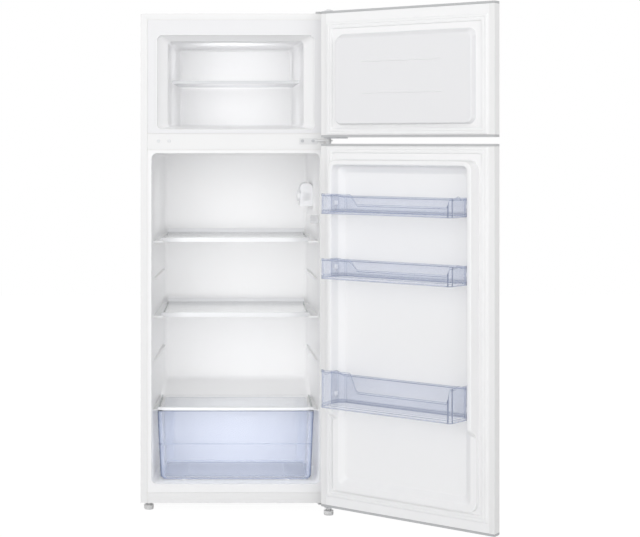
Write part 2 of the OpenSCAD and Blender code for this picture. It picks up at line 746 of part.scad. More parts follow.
// points of a tube that goes to and fro across X while it climbs, starting from +X
function serpentine(n, half, pitch, z_low, y) = [for (i = [0:n - 1])
    let (s = i % 2 == 0 ? -1 : 1, r = pitch / 2 * 0.92, z = z_low + i * pitch, q = half - r)
    each concat([[-s * q, y, z], [s * q, y, z]],
        i < n - 1 ? [for (a = [-60:30:60]) [s * (q + r * cos(a)), y,
            z + pitch / 2 + pitch / 2 * sin(a)]] : [])];

module condenser_tube() color(DARK)
    tube(concat([[pipe_x, pipe_y, pipe_z], [pipe_x, pipe_y + 12, pipe_z + 11],
        [pipe_x, cond_y - 8, recess_z - 7],
        [pipe_x, cond_y - 2, recess_z + 3], [pipe_x, cond_y, recess_z + 15],
        [pipe_x, cond_y, cond_z0 - 16], [pipe_x - 3, cond_y, cond_z0 - 6],
            [pipe_x - 10, cond_y, cond_z0 - 1]],
        serpentine(condenser_passes, cond_half, cond_pitch, cond_z0, cond_y),
        [[return_x - 16, cond_y, cond_z1], [return_x - 5, cond_y, cond_z1 - 5],
            [return_x, cond_y, cond_z1 - 16],
        [return_x, cond_y, recess_z + 15], [return_x, cond_y - 2, recess_z + 3],
            [return_x, cond_y - 8, recess_z - 7],
        [return_x - 3, drier_y + 16, recess_z - 22], [drier_x + 2, drier_y + 5, recess_z - 32],
        [drier_x, drier_y, drier_z + drier_h + 8], [drier_x, drier_y, drier_z + drier_h + seat / 2]]),
        cond_r, [0, 1, 0.001]);

module condenser_wires() color(DARK)
    for (i = [0:condenser_wires_n - 1], s = [-1, 1])
        let (step = 2 * (cond_half - 46) / (condenser_wires_n - 1))
        translate([-cond_half + 46 + i * step + s * 1.2, cond_y + s * (cond_r + wire_r + 0.05),
            cond_z0 - 12])
            cylinder(r = wire_r, h = cond_z1 - cond_z0 + 24, $fn = 8);

// clips that hold the condenser's bends off the back panel
module condenser_spacers() color(DARK)
    for (k = [0, 1, condenser_passes - 3, condenser_passes - 2])
        translate([(k % 2 == 0 ? -1 : 1) * cond_half, 0, cond_z0 + (k + 0.5) * cond_pitch]) {
            seat_y = cond_y - cond_r - seat / 2;
            box(-7, cab_d - sheet, -9, 7, seat_y, 9);
            for (s = [-1, 1]) box(s * 5 - 1.6, seat_y - eps, -3, s * 5 + 1.6, cond_y + 2, 3);
        }

// drier on the end of the condenser
module drier() color([0.75, 0.45, 0.25])
    translate([drier_x, drier_y, drier_z]) {
        cylinder(r1 = 2.5, r2 = 9, h = 10);
        translate([0, 0, 10 - eps]) cylinder(r = 9, h = drier_h - 20 + 2 * eps);
        translate([0, 0, drier_h - 10]) cylinder(r1 = 9, r2 = 3, h = 10);
    }

// tray on the compressor's top that dries the defrost water
module drip_tray() color(OFF_WHITE)
    difference() {
        translate([comp_x - 70, comp_y - 52, comp_z + comp_h + 0.1]) linear_extrude(18)
            polygon(round_box(0, 0, 140, 104, 14));
        translate([comp_x - 68, comp_y - 50, comp_z + comp_h + 2.1]) linear_extrude(18)
            polygon(round_box(0, 0, 136, 100, 12));
    }

module discharge_pipe() color([0.72, 0.42, 0.22])
    tube([[comp_x + comp_d / 2 + seat / 2, comp_y, comp_z + 60],
        [comp_x + comp_d / 2 + 10, comp_y, comp_z + 60],
        [comp_x + comp_d / 2 + 20, comp_y + 3, comp_z + 64], [comp_x + comp_d / 2 + 27, comp_y + 8,
            comp_z + 74],
        [comp_x + comp_d / 2 + 36, comp_y + 18, comp_z + 100], [pipe_x - 12, pipe_y - 18, pipe_z - 20],
        [pipe_x - 3, pipe_y - 12, pipe_z - 11], [pipe_x, pipe_y - 6, pipe_z - 5.5],
        [pipe_x, pipe_y - seat / 2, pipe_z - seat / 2]], cond_r, [1, 0, 0.5]);

// the suction pipe leaves the compressor halfway between its side and its back;
// the thin capillary tube leaves the drier's lower end
module suction_pipe() color([0.72, 0.42, 0.22]) {
    d = [-1, 1, 0] / sqrt(2);
    c = [comp_x, comp_y, comp_z + 96];
    r = comp_d / 2;
    tube([c + (r + seat / 2) * d, c + (r + 10) * d, c + (r + 16) * d + [0, 0, 3],
        c + (r + 19) * d + [0, 0, 10],
        [(c + (r + 19) * d)[0], (c + (r + 19) * d)[1], recess_z - seat / 2]], 3, [1, 1, 0]);
    tube([[drier_x, drier_y, drier_z - seat / 2], [drier_x, drier_y, drier_z - 8],
        [drier_x + 5, drier_y, drier_z - 16],
        [drier_x + 13, drier_y, drier_z - 19], [drier_x + 21, drier_y, drier_z - 16],
        [drier_x + 26, drier_y, drier_z - 8], [drier_x + 26, drier_y, recess_z - seat / 2]], capillary_r,
            [0, 1, 0]);
}

// evaporator tube wound round the freezer liner, set in the foam
module freezer_evaporator() color(STEEL) {
    c = freezer_corner;
    r = c + evap_off;
    corners = [[-1, 0, 270], [-1, 1, 180], [1, 1, 90], [1, 0, 0]];
    tube([for (i = [0:evap_turns - 1], k = [0:3], a = [0:30:90])
        let (y = evap_y + evap_pitch * (i + (k + a / 90) / 4), q = corners[k], turn = q[2] - a)
        [q[0] * (freezer_wall(y) - c) + r * cos(turn), y,
            (q[1] == 0 ? freezer_floor + c : freezer_ceiling - c) + r * sin(turn)]], evap_r, [0, 1, 0]);
}

// evaporator tube behind the fridge compartment's back wall, set in the foam
module fridge_evaporator() color(STEEL)
    tube(serpentine(6, evap_half, evap_step, evap_z, fridge_evap_y), evap_r, [0, 1, 0.001]);

module drain_tube() color(OFF_WHITE)
    difference() {
        drain_axis() translate([0, 0, 9]) cylinder(r = drain_r - seat, h = 26);
        drain_axis() translate([0, 0, 8]) cylinder(r = drain_r - seat - 1.6, h = 28);
    }

// ---------- lamp, thermostat and switch ----------

// the housing's outline in X and Z, with a domed top, shrunk by i
function lamp_outline(i) = concat([[lamp_x0 + i, lamp_z0 + i], [lamp_wall + 8, lamp_z0 + i],
    [lamp_wall + 8, lamp_z1]],
    [for (k = [0:8]) let (a = 180 * k / 8, half = lamp_w / 2)
        [lamp_wall - half + (half - i) * cos(a), lamp_z1 + (lamp_dome - i) * sin(a)]]);

module lamp_housing() color(OFF_WHITE)
    difference() {
        intersection() {
            along(lamp_front, lamp_back, lamp_outline(0));
            linear_extrude(big) polygon([[0, 0], [wall_x(0) - 0.2, 0],
                [wall_x(fridge_depth) - 0.2, fridge_depth],
                [0, fridge_depth]]);
        }
        intersection() {
            along(lamp_front + 2, lamp_back - 2, lamp_outline(2));
            linear_extrude(big) polygon([[0, 0], [wall_x(0) - 2.2, 0],
                [wall_x(fridge_depth) - 2.2, fridge_depth],
                [0, fridge_depth]]);
        }
        // light slots in the front face
        for (k = [-1.5:1.5])
            box(lamp_x0 + lamp_w / 2 + slot_pitch * k - 1.2, lamp_front - 1, knob_z - 14,
                lamp_x0 + lamp_w / 2 + slot_pitch * k + 1.2, lamp_front + 3, knob_z + 10);
        translate([lamp_x0 - 1, knob_y, knob_z]) rotate([0, 90, 0]) cylinder(r = 4 + run_fit, h = 4);
    }

module lamp_bulb() color([1, 0.97, 0.85])
    translate([lamp_wall - 18, lamp_back - 2.2, knob_z]) rotate([90, 0, 0]) {
        cylinder(r = 7, h = 16);
        translate([0, 0, 16 - eps]) cylinder(r1 = 5.5, r2 = 9, h = 8);
        translate([0, 0, 24 - 2 * eps]) cylinder(r = 9, h = 14);
        translate([0, 0, 38 - 3 * eps]) cylinder(r1 = 9, r2 = 4, h = 7);
    }

module thermostat_knob() color(WHITE)
    translate([lamp_x0, knob_y, knob_z]) rotate([0, -90, 0]) {
        difference() {
            union() {
                translate([0, 0, 0.3]) cylinder(d1 = knob_d, d2 = knob_d - 3, h = knob_t - 0.3);
                translate([0, 0, -6]) cylinder(r = 4, h = 7);
                translate([0, 0, -5.2]) cylinder(r = 6, h = 2.4);
            }
            translate([knob_d / 2 - 6, -0.6, knob_t - 1]) cube([6, 1.2, 2]);
        }
    }

module switch_housing() color(OFF_WHITE)
    difference() {
        intersection() {
            box(plunger_x - plunger_half - 3, switch_y, switch_z - 13, wall_x(0), switch_y + 34,
                switch_z + 8);
            linear_extrude(big) polygon([[0, 0], [wall_x(0) - 0.2, 0],
                [wall_x(fridge_depth) - 0.2, fridge_depth],
                [0, fridge_depth]]);
        }
        box(plunger_x - plunger_half - seat, switch_y - 1, switch_z - plunger_half - seat,
            plunger_x + plunger_half + seat, switch_y + 26, switch_z + plunger_half + seat);
    }

module switch_plunger() color(WHITE)
    box(plunger_x - plunger_half, plunger_tip, switch_z - plunger_half,
        plunger_x + plunger_half, switch_y + 16, switch_z + plunger_half);

// ---------- shelves ----------

module freezer_shelf() color(OFF_WHITE) {
    z = freezer_rib_z + seat;
    half = freezer_back_w / 2 - 2;
    front = freezer_shelf_front;
    back = freezer_shelf_back;
    translate([0, 0, z]) linear_extrude(freezer_shelf_t)
        polygon([[-half - 8, front], [half + 8, front], [half, back], [-half, back]]);
    along(front - 8, front + eps, round_box(-half - 10, z, half + 10, z + 9, 1.5));
}

module shelf_glass(z) color([0.85, 0.92, 0.92])
    box(-shelf_w / 2 + 3, shelf_front + 10, z, shelf_w / 2 - 3, shelf_back - 6, z + glass_t);

// the front moulding and the rear strip that grip the glass
module shelf_trim(z) color(WHITE) {
    difference() {
        union() {
            across(-shelf_w / 2, shelf_w / 2, [[shelf_front, z - 4], [shelf_front - 0.5, z + glass_t + 3],
                [shelf_front + 3, z + glass_t + 5], [shelf_front + 15, z + glass_t + 1.6],
                    [shelf_front + 15, z - 1.6],
                [shelf_front + 5, z - 4]]);
            across(-shelf_w / 2 + 3, shelf_w / 2 - 3, [[shelf_back - 10, z - 1.6],
                [shelf_back - 10, z + glass_t + 1.6],
                [shelf_back - 3, z + glass_t + 12], [shelf_back, z + glass_t + 12], [shelf_back, z - 1.6]]);
        }
        box(-shelf_w / 2 + 3 - seat, shelf_front + 10 - seat, z - 0.1, shelf_w / 2 - 3 + seat,
            shelf_back - 6 + seat,
            z + glass_t + 0.1);
        // the ends are cut up to sit on the ribs
        for (s = [-1, 1])
            box(s > 0 ? rib_in - 1 : -shelf_w / 2 - 1, shelf_front - 2, z - 6,
                s > 0 ? shelf_w / 2 + 1 : -rib_in + 1,
                shelf_back + 1, z);
    }
}

module shelf1_glass() shelf_glass(shelf1_z);
module shelf1_trim() shelf_trim(shelf1_z);
module shelf2_glass() shelf_glass(shelf2_z);
module shelf2_trim() shelf_trim(shelf2_z);

module cover_glass() color([0.85, 0.92, 0.92])
    translate([0, 0, cover_z]) linear_extrude(glass_t)
        polygon([[-cover_half + 2, drawer_front + 9], [cover_half - 2, drawer_front + 9],
            [cover_half - 2, cover_back], [-cover_half + 2, cover_back]]);

module cover_trim() color(WHITE)
    difference() {
        across(-cover_half, cover_half, [[drawer_front + 1, cover_z - 2.2],
            [drawer_front + 1, cover_z + glass_t + 2],
            [drawer_front + 4, cover_z + glass_t + 4], [drawer_front + 14, cover_z + glass_t + 1.5],
            [drawer_front + 14, cover_z - 1.4], [drawer_front + 4, cover_z - 2.2]]);
        box(-cover_half + 2 - seat, drawer_front + 9 - seat, cover_z - 0.1, cover_half - 2 + seat,
            cover_back,
            cover_z + glass_t + 0.1);
        for (s = [-1, 1])
            box(s > 0 ? cover_half - 15 : -cover_half - 1, drawer_front, cover_z - 6,
                s > 0 ? cover_half + 1 : -cover_half + 15, drawer_front + 20, cover_z);
    }

// the drawer's tub, shrunk by i on every side
module tub(i, top) {
    depth = cover_back - 2 - drawer_front;
    hull() {
        translate([0, 0, drawer_z0 + i]) linear_extrude(eps)
            polygon(round_box(-drawer_w / 2 + 14 + i, drawer_front + 6 + i, drawer_w / 2 - 14 - i,
                drawer_front + depth - 12 - i, 20 - i));
        translate([0, 0, drawer_z0 + i + 14]) linear_extrude(eps)
            polygon(round_box(-drawer_w / 2 + 6 + i, drawer_front + 1 + i, drawer_w / 2 - 6 - i,
                drawer_front + depth - 8 - i, 24 - i));
        translate([0, 0, top]) linear_extrude(eps)
            polygon(round_box(-drawer_w / 2 + 3 + i, drawer_front + i, drawer_w / 2 - 3 - i,
                drawer_front + depth - i, 26 - i));
    }
}

module crisper_drawer() color(ICE_BLUE)
    difference() {
        union() {
            tub(0, drawer_z1 - eps);
            // front plate with rounded lower corners, and its upper grip
            along(drawer_front - 2, drawer_front + 5,
                concat([[-drawer_w / 2, drawer_z1], [drawer_w / 2, drawer_z1]],
                arc(drawer_w / 2 - 26, drawer_z0 + 24, 20, 0, -90),
                    arc(-drawer_w / 2 + 26, drawer_z0 + 24, 20, -90, -180)));
            along(drawer_front - 5, drawer_front - 2 + eps, [[-drawer_w / 2, drawer_z1 - 95],
                [-drawer_w / 2, drawer_z1],
                [drawer_w / 2, drawer_z1], [drawer_w / 2, drawer_z1 - 95]]);
        }
        tub(tub_t, drawer_z1 + 1);
        box(-drawer_w / 2 + 30, drawer_front - 4, drawer_z1 - 90, drawer_w / 2 - 30, drawer_front - 2,
            drawer_z1 + 1);
    }

// ---------- doors ----------

module on_door()
    translate([pin_x, pin_y, 0]) rotate([0, 0, open_angle]) translate([-pin_x, -pin_y, 0]) children();

// a door's outline from above, shrunk by i
function door_plan(i) = concat([[half_w - i, door_in - i]], [[-half_w + i, door_in - i]],
    arc(-half_w + door_r, door_out + door_r, door_r - i, 180, 270, 8),
    arc(half_w - door_r, door_out + door_r, door_r - i, 270, 360, 8));

module door_skin(z0, z1) color(WHITE)
    on_door() difference() {
        translate([0, 0, z0 + cap_h + seat]) linear_extrude(z1 - z0 - 2 * cap_h - 2 * seat) polygon(door_plan(0));
        translate([0, 0, z0]) linear_extrude(z1 - z0) polygon(door_plan(sheet));
        box(-half_w + skin_return, door_in - 2 * sheet, z0, half_w - skin_return, door_in + 1, z1);
    }

module door_caps(z0, z1) color(OFF_WHITE)
    on_door() difference() {
        union() {
            for (z = [z0, z1 - cap_h]) translate([0, 0, z]) linear_extrude(cap_h) polygon(door_plan(0));
            upright(pin_x, pin_y, z0, z0 + 22, boss_r);
            upright(pin_x, pin_y, z1 - 22, z1, boss_r);
        }
        upright(pin_x, pin_y, z0 - 1, z0 + 19, pin_r + run_fit);
        upright(pin_x, pin_y, z1 - 19, z1 + 1, pin_r + run_fit);
    }

// the foam block behind a door's liner; children are the spaces that it fills in the raised panel
module door_foam(z0, z1) color([0.95, 0.90, 0.70])
    on_door() difference() {
        union() {
            difference() {
                translate([0, 0, z0 + cap_h + 0.3]) linear_extrude(z1 - z0 - 2 * cap_h - 0.6)
                    polygon(door_plan(sheet + sheet_gap));
                box(-big / 2, door_in - liner_t - sheet_gap, z0, big / 2, door_in + 5, z1);
            }
            children();
        }
        upright(pin_x, pin_y, z0, z0 + 23, boss_r + 0.2);
        upright(pin_x, pin_y, z1 - 23, z1, boss_r + 0.2);
        // the corners behind the bosses stay open
        for (z = [z0, z1 - 23]) box(pin_x, pin_y - boss_r - 0.2, z, half_w, pin_y + boss_r + 0.2, z + 23);
    }

// the freezer door's raised panel, shrunk by i
module plug(i)
    hull() {
        slab(door_in + (i > 0 ? -liner_t - 0.2 : 0), half_w - plug_side - i, plug_z0 + i, plug_z1 - i,
            plug_r - i);
        slab(door_in + plug_h - i, half_w - plug_side - plug_taper - i, plug_z0 + 2 + i,
            plug_z1 - plug_slope - i, plug_r - 2 - i);
    }

// the space inside the fridge door's ridge: its hollow, grown by i
module ridge_hollow(i) {
    top = half_w - ridge_side - ridge_w + i;
    z0 = ridge_z0 + ridge_w;
    z1 = ridge_z1 - ridge_w;
    hull() {
        slab(door_in + ridge_h + 1, top, z0 - i, z1 + i, 16);
        slab(door_in + ridge_mid_h, top - ridge_lean, z0 + 3 - i, z1 - 3 + i, 16);
    }
    hull() {
        slab(door_in + ridge_mid_h, top - ridge_lean, z0 + 3 - i, z1 - 3 + i, 16);
        slab(door_in - (i > 0 ? i + 0.4 : 0), top - ridge_lean - ridge_flare + i, z0 + 11 - i,
            z1 - 14 + i, 14);
    }
}

// the fridge door's ridge, shrunk by i
module ridge(i)
    difference() {
        intersection() {
            hull() {
                slab(door_in + (i > 0 ? -liner_t - 0.2 : 0), half_w - ridge_side - i, ridge_z0 + i,
                    ridge_z1 - i, ridge_r - i);
                slab(door_in + ridge_h - i, half_w - ridge_side - 1 - i, ridge_z0 + 1 + i,
                    ridge_z1 - ridge_taper - i, ridge_r - 2 - i);
            }
            // it is lower beside the crisper
            across(-big / 2, big / 2, [[door_in - 5, 0], [door_in + ridge_low_h - i, 0],
                [door_in + ridge_low_h - i, ridge_step_z0 + i / 2],
                    [door_in + ridge_h - i, ridge_step_z1 + i / 2],
                [door_in + ridge_h - i, big], [door_in - 5, big]]);
        }
        ridge_hollow(i);
    }

module freezer_door_skin() door_skin(freezer_door_z0, freezer_door_z1);
module freezer_door_caps() door_caps(freezer_door_z0, freezer_door_z1);
module freezer_door_foam() door_foam(freezer_door_z0, freezer_door_z1) plug(liner_t + sheet_gap);

module liner_sheet(z0, z1)
    box(-half_w + skin_return + seat, door_in - liner_t, z0 + cap_h + seat, half_w - skin_return - seat,
        door_in, z1 - cap_h - seat);

module freezer_door_liner() color(WHITE)
    on_door() difference() {
        union() {
            liner_sheet(freezer_door_z0, freezer_door_z1);
            plug(0);
        }
        plug(liner_t);
    }

// a soft frame pressed between door and cabinet
module gasket_ring(z0, z1) color(OFF_WHITE)
    on_door() {
        outer = half_w - gasket_side;
        difference() {
            along(door_in + 0.05, door_in + gasket_t, [[-outer, z0], [outer, z0], [outer, z1],
                [-outer, z1]]);
            along(door_in - 1, door_in + gasket_t + 1, [[-outer + gasket_w, z0 + gasket_w],
                [outer - gasket_w, z0 + gasket_w],
                [outer - gasket_w, z1 - gasket_w], [-outer + gasket_w, z1 - gasket_w]]);
            // groove along the middle
            along(door_in + gasket_t - 1.2, door_in + gasket_t + 1,
                [[-outer + 8, z0 + 8], [outer - 8, z0 + 8], [outer - 8, z1 - 8],
                [-outer + 8, z1 - 8]]);
        }
        difference() {
            along(door_in + gasket_t - 1.25, door_in + gasket_t,
                [[-outer + 10, z0 + 10], [outer - 10, z0 + 10],
                [outer - 10, z1 - 10], [-outer + 10, z1 - 10]]);
            along(door_in - 1, door_in + gasket_t + 1, [[-outer + gasket_w, z0 + gasket_w],
                [outer - gasket_w, z0 + gasket_w],
                [outer - gasket_w, z1 - gasket_w], [-outer + gasket_w, z1 - gasket_w]]);
        }
    }

module freezer_door_gasket() gasket_ring(freezer_door_z0 + 7, plug_z1 + 36);
module fridge_door_gasket() gasket_ring(ridge_z0 - gasket_w - 4, fridge_door_z1 - 7);

// the steel plate under a door that meets the hinge when the door is wide open
module door_stop(z) color(STEEL)
    on_door() translate([0, 0, z]) linear_extrude(stop_t) difference() {
        polygon([[half_w - 3, door_in - 8], [half_w - 74, door_in - 14], [half_w - 74, door_in - 26],
            [half_w - 24, door_in - 36], [half_w - 8, door_in - 34], [half_w - 3, door_in - 28]]);
        translate([pin_x, pin_y]) circle(r = pin_r + 0.3);
    }

module freezer_door_stop() door_stop(freezer_stop_z);
module fridge_door_stop() door_stop(fridge_stop_z);

module fridge_door_skin() door_skin(fridge_door_z0, fridge_door_z1);
module fridge_door_caps() door_caps(fridge_door_z0, fridge_door_z1);
module fridge_door_foam() door_foam(fridge_door_z0, fridge_door_z1) ridge(liner_t + sheet_gap);

module fridge_door_liner() color(WHITE)
    on_door() {
        difference() {
            union() {
                liner_sheet(fridge_door_z0, fridge_door_z1);
                ridge(0);
            }
            ridge(liner_t);
        }
        // lugs that carry the bins
        for (s = [-1, 1], z = [bin_upper_z, bin_middle_z, bin_lower_z])
            translate([0, 0, z + lug_z[0]]) linear_extrude(lug_z[1] - lug_z[0])
                polygon([for (q = [[0, 1], [1, 1], [1, -lug_out], [0, -lug_out]])
                    [s * (ridge_wall(lug_p[q[0]]) + q[1]), door_in + lug_p[q[0]]]]);
    }

// half width between the ridge's inner walls at a height p above the door's panel
function ridge_wall(p) = half_w - ridge_side - ridge_w - ridge_lean * (ridge_h - p) / (ridge_h - ridge_mid_h);

// a bin's outline from above, shrunk by i
function bin_plan(i) = let (x = bin_half - i, n = bin_nose, front = door_in + bin_reach - i,
    back = door_in + bin_back + i,
        foot = x - ridge_lean, waist = door_in + ridge_mid_h + 1, shoulder = door_in + ridge_h + 2)
    concat([[-x, shoulder], [-foot, waist], [-foot + ridge_flare, back], [foot - ridge_flare, back],
        [foot, waist],
        [x, shoulder]], arc(x - n - bin_r, front - bin_r, bin_r, 0, 90),
            arc(-x + n + bin_r, front - bin_r, bin_r, 90, 180));

// a door bin: a tub with a low front that rises to a horn at the hinge side
module bin(z, h, low, side, rear) color(ICE_BLUE)
    on_door() difference() {
        translate([0, 0, z]) linear_extrude(h) polygon(bin_plan(0));
        translate([0, 0, z + tub_t]) linear_extrude(h) polygon(bin_plan(tub_t));
        // the low stretch of the front
        horn = bin_half - bin_nose - horn_end;
        along(door_in + bin_reach - bin_r - 4, door_in + bin_reach + 1, concat(
            [[-bin_half + bin_nose + bin_r, z + h + 1], [-bin_half + bin_nose + bin_r, z + low + 6]],
            arc(-bin_half + bin_nose + bin_r + 6, z + low + 6, 6, 180, 270, 4),
            [for (k = [0:8]) [horn - horn_curve + horn_curve * k / 8,
                z + low + (h - low) * (1 - cos(180 * k / 8)) / 2 + (k == 8 ? 1 : 0)]]));
        // the end wall away from the hinge and the back wall stop lower
        box(-bin_half - 1, door_in - 1, z + side, -bin_half + bin_nose + bin_r + 7,
            door_in + bin_reach + 1, z + h + 1);
        box(-bin_half + tub_t, door_in - 1, z + rear, bin_half - tub_t, door_in + bin_back + tub_t + 1,
            z + h + 1);
        // slots in the ends that drop over the door's lugs
        for (s = [-1, 1])
            translate([0, 0, z - 1]) linear_extrude(lug_z[1] + seat + 1)
                polygon([for (q = [[0, 2], [1, 2], [1, -lug_out - 0.4], [0, -lug_out - 0.4]])
                    [s * (ridge_wall(lug_p[q[0]]) + q[1]),
                        door_in + lug_p[q[0]] + (q[0] > 0 ? 0.4 : -0.4)]]);
    }

module bin_upper() bin(bin_upper_z, bin_h, bin_h / 2 + 1, bin_h - 4, bin_h - 8);
module bin_middle() bin(bin_middle_z, bin_h, bin_h / 2 + 3, bin_h - 4, bin_h - 8);
module bin_lower() bin(bin_lower_z, bottle_bin_h, bottle_bin_h / 2 + 3, bottle_bin_h - 13,
    bottle_bin_h - 24);

// ---------- the whole, with its origin on the floor below the middle ----------

module place() translate(origin_shift) children();

place() cabinet_shell();
place() back_panel();
place() recess_panel();
place() cabinet_foam();
place() freezer_liner();
place() fridge_liner();
place() shelf_ribs();
place() mid_rail();
place() base_plate();
place() compressor_rail();
place() foot_left();
place() foot_right();
place() rear_feet();
place() bottom_hinge();
place() middle_hinge();
place() top_hinge();
place() hinge_screws();
place() plug_caps();
place() compressor();
place() compressor_mounts();
place() relay_box();
place() condenser_tube();
place() condenser_wires();
place() condenser_spacers();
place() drier();
place() drip_tray();
place() cord_gland();
place() discharge_pipe();
place() suction_pipe();
place() freezer_evaporator();
place() fridge_evaporator();
place() drain_tube();
place() lamp_housing();
place() lamp_bulb();
place() thermostat_knob();
place() switch_housing();
place() switch_plunger();
place() freezer_shelf();
place() shelf1_glass();
place() shelf1_trim();
place() shelf2_glass();
place() shelf2_trim();
place() cover_glass();
place() cover_trim();
place() crisper_drawer();
place() freezer_door_skin();
place() freezer_door_caps();
place() freezer_door_foam();
place() freezer_door_liner();
place() freezer_door_gasket();
place() freezer_door_stop();
place() fridge_door_skin();
place() fridge_door_caps();
place() fridge_door_foam();
place() fridge_door_liner();
place() fridge_door_gasket();
place() fridge_door_stop();
place() bin_upper();
place() bin_middle();
place() bin_lower();
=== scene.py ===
# %% [markdown]
# # Top freezer refrigerator, dressed
#
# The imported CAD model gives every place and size. This script adds the looks: moulded liners, soft
# gaskets, transparent bins, enamel and steel. It works in the millimetres of the cabinet's own
# axes, with both doors shut, and turns the doors' pieces about their hinge as the last step.
#
# No CAD shape is changed. Each new piece measures its CAD node and then stands for it.

import json
import math

import bmesh
import bpy
import numpy as np
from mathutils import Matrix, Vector

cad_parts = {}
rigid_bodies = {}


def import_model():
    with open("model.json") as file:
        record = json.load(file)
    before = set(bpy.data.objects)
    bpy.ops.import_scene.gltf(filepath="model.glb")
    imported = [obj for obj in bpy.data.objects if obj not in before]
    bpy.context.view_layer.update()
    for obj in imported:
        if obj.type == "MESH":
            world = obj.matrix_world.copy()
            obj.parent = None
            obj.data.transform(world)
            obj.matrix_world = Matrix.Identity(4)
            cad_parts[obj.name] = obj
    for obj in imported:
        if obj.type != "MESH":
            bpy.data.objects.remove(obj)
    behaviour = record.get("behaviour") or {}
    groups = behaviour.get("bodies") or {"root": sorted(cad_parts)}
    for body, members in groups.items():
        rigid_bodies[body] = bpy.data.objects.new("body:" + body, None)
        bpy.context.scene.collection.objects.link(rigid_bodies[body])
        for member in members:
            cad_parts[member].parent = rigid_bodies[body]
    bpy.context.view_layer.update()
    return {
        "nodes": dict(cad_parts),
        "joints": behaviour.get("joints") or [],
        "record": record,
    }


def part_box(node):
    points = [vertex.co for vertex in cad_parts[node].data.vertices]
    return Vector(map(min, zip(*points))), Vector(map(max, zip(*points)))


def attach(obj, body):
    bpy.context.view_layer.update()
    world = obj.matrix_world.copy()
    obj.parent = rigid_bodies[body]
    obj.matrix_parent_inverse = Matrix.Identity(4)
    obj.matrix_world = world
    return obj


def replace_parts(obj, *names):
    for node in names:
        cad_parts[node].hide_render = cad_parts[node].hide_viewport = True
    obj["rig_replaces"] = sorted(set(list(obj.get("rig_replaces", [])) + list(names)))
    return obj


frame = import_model()

# %% [markdown]
# ## Camera
#
# The viewer stands about four metres in front of the cabinet, a good metre above the floor. Tilting
# the camera down would show the whole object too, but its upright edges would then lean. A level
# camera with a shifted frame keeps them upright, as an architect's lens does. The sideways shift
# makes room for the doors, which stand open to the right.

# %% Camera
MM = 0.001
CAMERA_BACK = 4.3
CAMERA_UP = 1.069
SENSOR_WIDTH = 36
FOCAL_LENGTH = 83.74
SHIFT_RIGHT = 0.1317
SHIFT_DOWN = 0.1977

shell_low, shell_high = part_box("cabinet_shell")
CABINET = np.array([(shell_low.x + shell_high.x) / 2, shell_low.y, 0.0])

camera = bpy.data.objects.new("camera", bpy.data.cameras.new("camera"))
camera.location = CABINET + (0, -CAMERA_BACK, CAMERA_UP)
camera.rotation_euler = (math.pi / 2, 0, 0)
camera.data.sensor_width = SENSOR_WIDTH
camera.data.lens = FOCAL_LENGTH
camera.data.shift_x = SHIFT_RIGHT
camera.data.shift_y = -SHIFT_DOWN
bpy.context.scene.collection.objects.link(camera)
bpy.context.scene.camera = camera
print("camera at", [round(c, 3) for c in camera.location])

# %% [markdown]
# ## Places
#
# Both doors turn about one line of pins. The pin's place and the angle at which the doors stand
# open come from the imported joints, so this script and the moving model can't disagree.

# %% Hinge and bodies
JOINTS = {joint["name"]: joint for joint in frame["joints"]}
HINGE = JOINTS["fridge_door_hinge"]
PIN = (np.array(HINGE["pos_m"]) - CABINET) / MM
OPEN = math.radians(-HINGE["range_deg"][0])
BODIES = frame["record"]["behaviour"]["bodies"]
BODY_OF = {node: body for body, nodes in BODIES.items() for node in nodes}
SLOT_OF = {part["node"]: part["material_slot"] for part in frame["record"]["subparts"]}
DOOR_BODIES = {"freezer_door", "fridge_door", "bin_upper", "bin_middle", "bin_lower"}
print("pin", PIN.round(2), "open", round(math.degrees(OPEN), 1))

# %% [markdown]
# ## Drawn millimetres
#
# Each CAD node's points are read back in the axes they were drawn in. A door's nodes are first
# turned back about the pin. A door could be shaped at its open angle as well, but then no number
# would be a plain width or height. Shaped as if shut, it stands square to the cabinet.

# %% Points as drawn
GASKET_FIT = 0.05


def turned(points, angle):
    """Points turned about the pin: x' = px + dx cos a - dy sin a, y' = py + dx sin a + dy cos a."""
    dx = points[:, 0] - PIN[0]
    dy = points[:, 1] - PIN[1]
    x = PIN[0] + dx * math.cos(angle) - dy * math.sin(angle)
    y = PIN[1] + dx * math.sin(angle) + dy * math.cos(angle)
    return np.stack([x, y, points[:, 2]], axis=1)


def to_row(points, node):
    """Drawn millimetres to the row frame's metres, for a piece that stands for this node."""
    points = np.asarray(points, float)
    if BODY_OF[node] in DOOR_BODIES:
        points = turned(points, OPEN)
    return points * MM + CABINET


def drawn_points(node):
    """A node's vertices in the millimetres it was drawn in."""
    mesh = frame["nodes"][node].data
    flat = np.zeros(len(mesh.vertices) * 3)
    mesh.vertices.foreach_get("co", flat)
    points = (flat.reshape(-1, 3) - CABINET) / MM
    if BODY_OF[node] in DOOR_BODIES:
        points = turned(points, -OPEN)
    return points


DRAWN = {node: drawn_points(node) for node in frame["nodes"]}
LOW = {node: points.min(axis=0) for node, points in DRAWN.items()}
HIGH = {node: points.max(axis=0) for node, points in DRAWN.items()}
PANEL = LOW["fridge_door_gasket"][1] - GASKET_FIT
print("nodes measured", len(DRAWN), "door panel at", round(PANEL, 2))

# %% [markdown]
# ## Outlines
#
# Moulded parts are stacks of closed outlines. Every outline of one stack has the same number of
# points, so neighbouring outlines join into clean bands of quads. A bevel could round the edges of
# a box too, but it gives no outline that can be drawn in and carried up a wall.

# %% Rounded outlines
ARC_STEPS = 6
SMALLEST_RADIUS = 0.05


